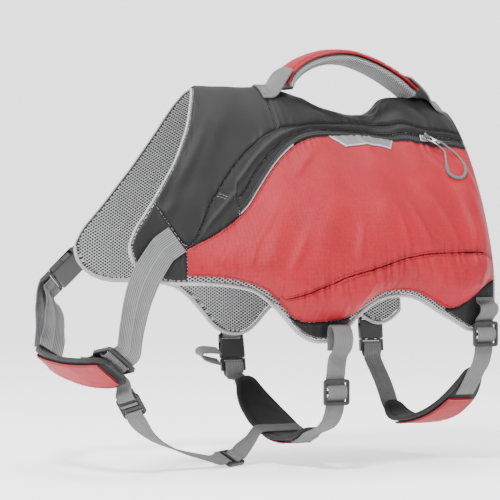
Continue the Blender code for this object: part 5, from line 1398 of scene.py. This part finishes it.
def padded_leaf(name, pad, node):
    """Leaf of foam: a low cushion between bound edges, rounded at both ends, and its cover."""
    path, wide, up = pad_path(pad, 90)
    run = run_along(path)
    share = np.linspace(0, 1, 90)
    to_end = np.minimum(run, run[-1] - run)
    end = np.clip(to_end / 8.0, 0.02, 1)
    half = pad_half_width(pad, share)
    half = np.convolve(np.pad(half, 6, mode="edge"), np.ones(13) / 13, "valid")
    half = (half * (0.35 + 0.65 * np.sqrt(1 - (1 - end) ** 2)))[:, None]
    turn = np.linspace(0, 2 * math.pi, 72, endpoint=False)[None]
    u = half * np.sin(turn)
    in_from_edge = np.minimum(half - np.abs(u), to_end[:, None] + 1.0)
    belly = 2.0 + 1.0 * np.clip((in_from_edge - PAD_BINDING) / 6, 0, 1) ** 0.5
    groove = 0.5 * np.exp(-((in_from_edge - PAD_BINDING) / 0.8) ** 2)
    rim = np.sqrt(np.clip(1 - (1 - np.clip(in_from_edge / 2.2, 0, 1)) ** 2, 0.02, 1))
    dents = ripples(run[:, None], u, 9.0, 0.2) * np.clip(in_from_edge / 8, 0, 1)
    v = np.sign(np.cos(turn)) * ((belly - groove) * rim + dents)
    v = np.where(np.abs(np.cos(turn)) < 1e-6, 0, v)
    bound = np.clip(0.5 + (PAD_BINDING - in_from_edge) / 1.2, 0, 1)
    leaf = swept(name + "_leaf", path, wide, up, u, v, PADDING,
                 marks={"bound": bound})
    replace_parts(leaf, node + "_body")
    first, last = pad["cover"]
    keep = (share > first) & (share < last)
    steps = np.clip(np.minimum(share - first, last - share)[keep] * run[-1] / 5, 0, 1)
    cover_half = np.maximum(half[keep] - PAD_BINDING + 0.2, 4.0)
    u, v = flat_ring(1.0, COVER_RING, 20)
    creases = ripples(run[keep][:, None], u * cover_half, 7.0, 0.3) * steps[:, None]
    cover = swept(name + "_cover", path[keep], wide[keep], up[keep], u * cover_half,
                  v / COVER_RING * COVER_WALL + 3.45 + COVER_WALL
                  + (0.35 * (1 - u ** 2) + creases) * (v > 0), RED)
    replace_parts(cover, node + "_cover")


def belly_band(name, pad, loop, glide_centre, fall, far, anchor, buckle, buckle_down):
    """Near webbing through its glide, the leaf, far webbing and the buckle's own webbing."""
    across, down = (-1, 0, 0), (0, 0, -1)
    near = list(through([(*place, *across) for place in loop], 18))
    near += weave(glide_centre, across, down, GLIDE_WEAVE)
    sewn = [(*on_pad_at(pad, k / (PAD_ROWS - 1), 0, PAD_FACE), *across) for k in (0, 1, 2, 2.5)]
    near += list(through([(*place, *across) for place in fall] + sewn[:1], 6)) + sewn[1:]
    grey_web(name + "_near", near, name + "_web_near")
    padded_leaf(name, pad, name + "_pad")
    across = (1, 0, 0)
    rows = [(*on_pad_at(pad, 1 - k / (PAD_ROWS - 1), 0, PAD_FACE), *across) for k in (2, 1, 0)]
    rows += list(through(rows[-1:] + list(far), 5))[1:]
    rows += weave(buckle, across, buckle_down, MALE_FOLD, shift=BELLY_FEMALE + 0.4)
    grey_web(name + "_far", rows, name + "_web_far")
    out = PANEL_OUT + TOUCH + WEB_THICK / 2 + 0.6
    rows = [(*skin(float(x), float(g), out), *across) for x, g in anchor]
    rows += weave(buckle, across, buckle_down, FEMALE_FOLD)
    grey_web(name + "_hem_end", rows, name + "_web_buckle")


belly_band("belly_front", FRONT_PAD, FRONT_LOOP, FRONT_GLIDE, FRONT_FALL, FRONT_FAR,
           FRONT_ANCHOR, FRONT_BUCKLE, FRONT_BUCKLE_DOWN)
grey_web("belly_front_spare", FRONT_TAIL, "belly_front_tail")
belly_band("belly_rear", REAR_PAD, REAR_LOOP, REAR_GLIDE, REAR_FALL, REAR_FAR,
           REAR_ANCHOR, REAR_BUCKLE, REAR_BUCKLE_DOWN)


# Chest band
# 28 mm ribbed elastic runs down both sides of the chest from the front corners to a padded leaf
# across the front, through an adjuster on the near side and a buckle on the far one.
CHEST_WEB = 28.0
CHEST_RIBS = 14
CHEST_PAD = {
    "rows": ((-262, -80, -242.5, 0.77, 0.19, -0.61), (-267, -66, -246, 0.76, 0.15, -0.63),
             (-272, -47, -248, 0.74, 0.1, -0.66), (-277, -26, -248, 0.72, 0.05, -0.69),
             (-281.5, -4, -246, 0.71, 0.05, -0.70), (-284.5, 20, -243, 0.71, 0.08, -0.70),
             (-283.5, 45, -239.5, 0.74, 0.15, -0.65), (-278, 64, -237.5, 0.8, 0.25, -0.52),
             (-271, 77, -234.5, 0.88, 0.33, -0.3), (-267, 83, -227, 0.92, 0.39, 0)),
    "half_widths": ((0, 17), (0.05, 21), (0.12, 22), (0.3, 20.5), (0.5, 17.5), (0.7, 15),
                    (0.85, 13), (1, 12.5)),
    "cover": (0.05, 0.95),
}
CHEST_BUCKLE = (-229, 91.5, -136)
CHEST_BUCKLE_ACROSS = (0.599, 0.669, -0.44)
CHEST_BUCKLE_DOWN = (-0.689, 0.151, -0.708)
CHEST_LEAN = (-0.865, 0.5)
CHEST_SEWN = ((-198.5, 166.5), (-203.5, 169.6), (-209, 173), (-213, 175.5))
CHEST_FREE = (
    (-220, -79.3, -139.5, 0.62, -0.15, -0.75), (-226.5, -82.2, -147, 0.78, -0.25, -0.58),
    (-234, -83.8, -158.5, 0.85, -0.3, -0.3), (-239.8, -83.5, -173, 0.9, -0.1, -0.25),
    (-244, -82.2, -190, 0.93, 0.1, -0.25), (-247.5, -82.5, -207, 0.88, 0.18, -0.37),
    (-249.8, -83.6, -218, 0.83, 0.19, -0.5), (-250.7, -84.4, -226.7, 0.77, 0.19, -0.61),
)
ADJUSTER = (-261.2, -72, -235.8)
ADJUSTER_ACROSS = (0.77, 0.19, -0.61)
ADJUSTER_ALONG = (-0.39, 0.9, -0.2)
ADJUSTER_SEWN = (2 / 14, 3 / 14, 3.3 / 14)
ADJUSTER_SHIFT = -3.8
CHEST_RISE = (
    (-262.7, 82, -211, 0.90, 0.43, 0), (-261, 86.5, -196, 0.85, 0.5, -0.05),
    (-262.5, 90.4, -183.3, 0.62, 0.66, -0.42),
)
CHEST_TAIL = (
    (-269.8, 99, -180.1, 0.62, 0.66, -0.42), (-268.6, 96.8, -192, 0.8, 0.52, -0.1),
    (-268, 92, -206, 0.88, 0.45, 0),
)
CHEST_TAIL_SLOT = (
    (52.5, -3.4), (48, -3.5), (44.3, -3.4), (42.8, -3.0), (41.8, -2.0), (41.5, 0), (41.8, 2.0),
    (42.8, 3.0), (44.3, 3.4), (49.5, 3.5), (52.5, 3.4),
)


def on_skin(places, side, out, lean):
    """Rows for webbing sewn on a flank; its width runs square to the lean (x, g)."""
    rows = []
    for x, g in places:
        centre = skin(float(x), side * float(g), out)
        end = skin(float(x) + lean[1], side * (float(g) - lean[0]), out)
        rows.append((*centre, *(end - centre)))
    return rows


def elastic(name, rows, node):
    """Ribbed elastic of the chest band."""
    webbing(name, rows, CHEST_WEB, ELASTIC, node, CHEST_RIBS)


# The elastic's strong stripes along its ribs are painted shade.
ELASTIC = ribbed_cloth("ribbed elastic", (0.060, 0.060, 0.062), (0.215, 0.215, 0.22), 1.3, 2.0, 0.5)
out = PANEL_OUT + TOUCH + WEB_THICK / 2 + 0.9
rows = on_skin(CHEST_SEWN, -1, out, CHEST_LEAN)
rows += list(through(rows[-1:] + list(CHEST_FREE), 9))[1:]
rows += weave(ADJUSTER, ADJUSTER_ACROSS, ADJUSTER_ALONG, GLIDE_WEAVE, -1)
rows += pad_rows(CHEST_PAD, ADJUSTER_SEWN, ADJUSTER_SHIFT, -PAD_FACE - 0.5)
elastic("chest_elastic_near", rows, "chest_web_near")
padded_leaf("chest", CHEST_PAD, "chest_pad")
rows = pad_rows(CHEST_PAD, (13 / 14, 1.0), 0, -PAD_FACE)
rows += list(through(rows[-1:] + list(CHEST_RISE), 7))[1:]
rows += weave(CHEST_BUCKLE, CHEST_BUCKLE_ACROSS, CHEST_BUCKLE_DOWN, CHEST_TAIL_SLOT)
rows += list(through(list(CHEST_TAIL) + pad_rows(CHEST_PAD, (1.0,), 0, PAD_FACE + 1.2), 6))
elastic("chest_elastic_far", rows, "chest_web_far")
rows = on_skin(CHEST_SEWN, 1, out, CHEST_LEAN)
rows += weave(CHEST_BUCKLE, CHEST_BUCKLE_ACROSS, CHEST_BUCKLE_DOWN, FEMALE_FOLD)
elastic("chest_elastic_corner", rows, "chest_web_buckle")


# Link strap
# Narrow grey webbing between the chest leaf and the front belly leaf. A lock hangs from a short
# loop at its front, and a glide takes up its length near its rear end.
LINK_WEB = 18.0
LOCK = (-239, -60, -279)
LOCK_ACROSS = (0.75, -0.65, 0)
LOCK_DOWN = (0.52, 0.1, -0.85)
LOCK_FOLD = (
    (-15, -2.4), (-12.5, -2.6), (-10.7, -3.0), (-8.6, -3.1), (-7.0, -2.0), (-6.5, 0),
    (-7.0, 2.0), (-8.6, 3.1), (-10.7, 3.0), (-13, 2.6), (-16, 2.4),
)
LOCK_WEAVE = (
    (-3.6, -2.95), (-2.2, -2.9), (-1.1, -2.1), (-0.9, 0), (-0.7, 2.1), (0.4, 2.95), (2.5, 3.1),
    (4.6, 2.95), (5.7, 2.1), (5.9, 0), (6.1, -2.1), (7.2, -2.9), (9.5, -3.0), (14, -3.0),
)
LINK_GLIDE = (-111, 0, -338)
LINK_GLIDE_ACROSS = (0.48, -0.75, -0.45)
LINK_GLIDE_ALONG = (0.88, 0.46, 0.05)
LINK_FRONT = (
    (-220, -43, -303, 0.35, -0.9, 0.2), (-203, -32, -314.5, 0.0, -0.97, 0.15),
    (-184, -24, -323, -0.2, -0.95, 0.05), (-165, -17.5, -329.5, -0.1, -0.97, -0.1),
    (-147, -13, -334, 0.15, -0.93, -0.25), (-129.1, -11.1, -338.9, 0.48, -0.75, -0.45),
)
LINK_REAR = (
    (-95.1, 5.6, -330.5, 0.48, -0.75, -0.45), (-85.5, 5.5, -321.5, 0.1, -0.96, -0.26),
    (-79.7, 6, -313.8, 0, -0.963, -0.27), (-75.2, 6.2, -310.1, 0, -0.963, -0.27),
)
LINK_SEWN = (-17, -8, 4, 20)
rows = [(*on_pad_at(CHEST_PAD, 0.1, sideways, depth), 0.42, -0.85, 0.25)
        for sideways, depth in ((16, -PAD_FACE - 0.8), (21.5, -PAD_FACE - 0.8), (26, -2.6))]
rows += weave(LOCK, LOCK_ACROSS, LOCK_DOWN, LOCK_FOLD)
grey_web("link_top", rows, "link_web_top", LINK_WEB)
rows = weave(LOCK, LOCK_ACROSS, LOCK_DOWN, LOCK_WEAVE)
rows += list(through(LINK_FRONT, 9))
rows += weave(LINK_GLIDE, LINK_GLIDE_ACROSS, LINK_GLIDE_ALONG, GLIDE_WEAVE, -1)
rows += list(LINK_REAR) + [(*on_pad_at(FRONT_PAD, 0.42, sideways, -PAD_FACE), 0, -0.963, -0.27)
                           for sideways in LINK_SEWN]
grey_web("link_strap", rows, "link_web", LINK_WEB)


# Stitching
# Lock stitches in real thread: single rows beside each seam, double rows on the hems, and
# squares on the webbing. The thread is red on the red cloth, near black on charcoal, and light
# grey on the gussets and hem tabs.
STITCH_PITCH = 3.4
STITCH_LENGTH = 2.6
STITCH_RADIUS = 0.32
SEAM_STEP = 0.8


def along_cloth(side, xs, line, lift):
    """Points just above the cloth along a line of girths."""
    xs = np.asarray(xs, float)
    g = np.asarray(line, float)
    return skin(xs, side * g, lift(xs, g, np.full(len(xs), 2.0)) + 0.12)


def sew(name, seams, looks):
    """One mesh of stitches along all seams: short six-sided bars, with round, sunk ends."""
    starts, ends = [], []
    for seam in seams:
        run = run_along(seam)
        at = np.arange(1.0, run[-1] - STITCH_LENGTH, STITCH_PITCH)
        starts.append(spaced(at, run, seam))
        ends.append(spaced(at + STITCH_LENGTH, run, seam))
    start, end = np.concatenate(starts), np.concatenate(ends)
    along = unit(end - start)
    length = np.linalg.norm(end - start, axis=1, keepdims=True)
    side = unit(np.cross(along, (0.31, 0.52, 0.79)))
    up = np.cross(along, side)
    places = np.array([0, 0.12, 0.5, 0.88, 1.0])
    radii = np.array([0.25, 0.8, 1.0, 0.8, 0.25]) * STITCH_RADIUS
    turn = np.linspace(0, 2 * math.pi, 6, endpoint=False)
    middle = start[:, None] + along[:, None] * (places[None, :, None] * length[:, None])
    spread = (side[:, None, None] * np.cos(turn)[None, None, :, None]
              + up[:, None, None] * np.sin(turn)[None, None, :, None])
    points = middle[:, :, None] + spread * radii[None, :, None, None]
    one = grid_quads(5, 6, closed=True).tolist() + [[0, 1, 2, 3, 4, 5], [29, 28, 27, 26, 25, 24]]
    faces = [[v + 30 * k for v in face] for k in range(len(start)) for face in one]
    uv = np.stack([np.tile(np.repeat(places, 6), len(start)) * STITCH_LENGTH,
                   np.tile(turn, 5 * len(start)) * STITCH_RADIUS], axis=-1)
    piece(name, points.reshape(-1, 3), faces, uv, looks)


red_seams, dark_seams, light_seams, grey_seams = [], [], [], []
flat_charcoal = charcoal_lift(())
yoke_lift = charcoal_lift(YOKE_FOLDS)
BACK = REAR_X - 2
for side in (-1, 1):
    for seams, first, line, lift in (
            (red_seams, -186, lambda x: pocket_top_line(x) + 2.4, pocket_lift),
            (red_seams, LOWER_PANEL_X + 4, lambda x: cross_line(x) - 2.2, pocket_lift),
            (red_seams, LOWER_PANEL_X + 4, lambda x: cross_line(x) + 2.0, pocket_lift),
            (red_seams, -186, lambda x: pocket_hem_line(x) - 2.0, pocket_lift),
            (dark_seams, -186, lambda x: gusset_low_line(x) + 1.8, gusset_lift),
            (dark_seams, YOKE_END_X + 1, lambda x: yoke_line(x) - 2.0, top_lift),
            (dark_seams, ZIP_START_X + 4, lambda x: zip_top_line(x) - 2.2, gusset_lift)):
        xs = np.arange(first, BACK, SEAM_STEP)
        seams.append(along_cloth(side, xs, line(xs), lift))
    xs = np.arange(-212, YOKE_END_X - 1, SEAM_STEP)
    dark_seams.append(along_cloth(side, xs, yoke_line(xs) - 2.0, yoke_lift))
    xs = np.arange(-212, NECK_X - 2, 0.5)
    slope = slope_of(xs, NECK_EDGE)
    for inset in (2.6, 5.2):
        away = inset / np.hypot(1, slope)
        dark_seams.append(along_cloth(side, xs - slope * away, neck_line(xs) + away, yoke_lift))
    xs = np.arange(ZIP_START_X + 4, BACK, SEAM_STEP)
    for line in (zip_top_line(xs) + 1.4, pocket_top_line(xs) - 8.0):
        dark_seams.append(skin(xs, side * line, PANEL_OUT - 0.35 + 0 * xs))
    for shift in (0, 2.2):
        light_seams.append(along_cloth(side, np.linspace(-157, -139, 40) + shift,
                                       np.linspace(126, 133, 40) - shift, gusset_lift))
    for first, last in ((-91, -33), (76, BACK)):
        xs = np.arange(first, last, SEAM_STEP)
        light_seams.append(along_cloth(side, xs, hem_line(xs) - 2.0, flat_charcoal))
    for seams, first, last, inset, lift in (
            (red_seams, float(pocket_top_line(REAR_X)) + 3, float(pocket_hem_line(REAR_X)) - 3,
             2.4, pocket_lift),
            (dark_seams, 2, float(yoke_line(REAR_X)) - 2, 2.6, top_lift)):
        g = np.arange(first, last, SEAM_STEP)
        seams.append(along_cloth(side, 0 * g + REAR_X - inset, g, lift))
    xs = np.arange(PATCH_TOP[0] + 1.2, PATCH_TOP[1] - 1, SEAM_STEP)
    g = pocket_top_line(xs) + PATCH_MARGIN + 1.0
    grey_seams.append(skin(xs, side * g, pocket_out(xs, g) + POCKET_WALL + 1.6))


def across_web(x, g):
    """Points just above the handle's webbing where it lies on the back."""
    return skin(x, g, PANEL_OUT + TOUCH + 0.6 + WEB_THICK + folds(x, np.abs(g), TOP_FOLDS))


for first, last in ((-83, -76), (107.5, 114)):
    for g in (-17, -6, 6, 17):
        xs = np.arange(first, last, 0.5)
        grey_seams.append(across_web(xs, 0 * xs + g))
    for x in (first, last):
        g = np.arange(-17, 17, 0.5)
        grey_seams.append(across_web(0 * g + x, g))
path, wide, up = (values[8:-8] for values in handle_path(160))
for across in (-16.4, 16.4):
    red_seams.append(path + wide * across + up * (0.35 - HANDLE_CROWN * (across / half_wide) ** 2))
for pad in (FRONT_PAD, REAR_PAD, CHEST_PAD):
    path, wide, up = pad_path(pad, 120)
    share = np.linspace(0, 1, 120)
    first, last = pad["cover"]
    keep = (share > first + 0.01) & (share < last - 0.01)
    half = (pad_half_width(pad, share)[keep] - PAD_BINDING - 1.6)[:, None]
    for way in (-1, 1):
        red_seams.append(path[keep] + wide[keep] * half * way + up[keep] * 5.15)
for name, seams, dark, light, slot in (
        ("red", red_seams, (0.10, 0.003, 0.006), (0.30, 0.010, 0.018), "red_nylon"),
        ("dark", dark_seams, (0.004, 0.004, 0.0045), (0.016, 0.016, 0.017), "charcoal_nylon"),
        ("light", light_seams, (0.15, 0.16, 0.157), (0.36, 0.37, 0.365), "light_piping"),
        ("grey", grey_seams, (0.03, 0.03, 0.031), (0.11, 0.11, 0.112), "grey_webbing")):
    sew("stitches_" + name, seams, twisted(name + " thread", dark, light, 0.7, 0.5))


# Buckles, adjusters and glides
# Moulded black nylon with a satin face, and a faint painted highlight along its edges. The webbing
# is threaded through each part and sewn back on itself; the parts keep the shape of their own
# solids.


def moulded_plastic():
    """Satin black plastic: fine spark-eroded grain, and a faint painted highlight along its edges.
    """
    made, tree, shader, place, tone = hard_material("black plastic", 120.0, 0.36, 0.52)
    edge_pointiness = add_node(tree, "NewGeometry").outputs["Pointiness"]
    # Painted highlight: sharp edges, found by their pointiness, are coloured lighter where light
    # would catch them.
    worn = add_node(tree, "MapRange", Value=edge_pointiness, From_Min=0.52, From_Max=0.6, To_Max=0.35)
    shade = maths(tree, "MULTIPLY_ADD", tone["Tone"], 0.4, worn.outputs[0])
    tinted(tree, shader, shade, (0.002, 0.002, 0.0022), (0.018, 0.018, 0.019))
    grain = add_node(tree, "TexNoise", Vector=place, Scale=2600.0, Detail=1.0)
    bumped(tree, shader, [(grain.outputs[0], 0.03, 0.5)])
    return made


PLASTIC = moulded_plastic()
for node in ("belly_front_glide", "belly_rear_glide", "chest_adjuster", "link_lock",
             "link_glide", "belly_front_buckle_female", "belly_front_buckle_male",
             "belly_rear_buckle_female", "belly_rear_buckle_male", "chest_buckle_female",
             "chest_buckle_male"):
    finished(node, PLASTIC, 0.35)


# Floor, lights and camera
# A pale floor that curves up behind the jacket, broad soft lights and a small bright one from the
# upper left that gives the folds their shade, and the photograph's view.
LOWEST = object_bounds()[0][2]
FLOOR_WIDTH = 9.0
floor_run = cut_corners([(-3.0, 0), (2.0, 0), (2.6, 0.03), (3.1, 0.18), (3.5, 0.5), (3.7, 1.0),
                         (3.75, 3.6)], 2)
aside = np.array([-FLOOR_WIDTH / 2, FLOOR_WIDTH / 2])
turned = math.radians(-25)
local_x = np.repeat(aside[None], len(floor_run), axis=0)
local_y = np.repeat(floor_run[:, :1], 2, axis=1)
points = np.stack([local_x * math.cos(turned) - local_y * math.sin(turned),
                   local_x * math.sin(turned) + local_y * math.cos(turned),
                   np.repeat(floor_run[:, 1:], 2, axis=1) + LOWEST - 0.0005], axis=-1)
mesh = bpy.data.meshes.new("floor")
mesh.from_pydata(points.reshape(-1, 3).tolist(), [], grid_quads(len(floor_run), 2).tolist())
mesh.shade_smooth()
pale = bpy.data.materials.new("pale floor")
pale.use_nodes = True
shader = pale.node_tree.nodes["Principled BSDF"]
shader.inputs["Base Color"].default_value = (0.97, 0.97, 0.97, 1)
shader.inputs["Emission Color"].default_value = (1, 1, 1, 1)
shader.inputs["Emission Strength"].default_value = 0.7
shader.inputs["Roughness"].default_value = 0.9
mesh.materials.append(pale)
placed("floor", mesh)

LOOK_AT = Vector((-0.0730, 0.0328, -0.1340))
CAMERA_AT = Vector((-1.0872, -2.1423, -0.1131))


def aimed(name, data, place):
    """Light or camera that looks at the jacket."""
    made = placed(name, data)
    made.location = place
    made.rotation_euler = (LOOK_AT - Vector(place)).to_track_quat("-Z", "Y").to_euler()
    return made


for name, place, size, power in (("key", (-1.2, -1.4, 1.9), 0.6, 120.0),
                                 ("fill", (1.8, -1.6, 0.5), 1.6, 10.0),
                                 ("top", (0.1, 0.1, 1.9), 1.4, 42.0),
                                 ("front", (-1.6, 0.9, 0.5), 1.2, 22.0)):
    data = bpy.data.lights.new(name, "AREA")
    data.shape = "DISK"
    data.size = size
    data.energy = power
    aimed(name, data, place)
world = bpy.data.worlds.new("studio")
world.use_nodes = True
backdrop = world.node_tree.nodes["Background"]
backdrop.inputs["Color"].default_value = (1, 1, 1, 1)
backdrop.inputs["Strength"].default_value = 0.85
bpy.context.scene.world = world

lens = bpy.data.cameras.new("camera")
lens.lens = 172.8
lens.sensor_width = 36
lens.clip_end = 20
bpy.context.scene.camera = aimed("camera", lens, CAMERA_AT)

bpy.context.view_layer.update()
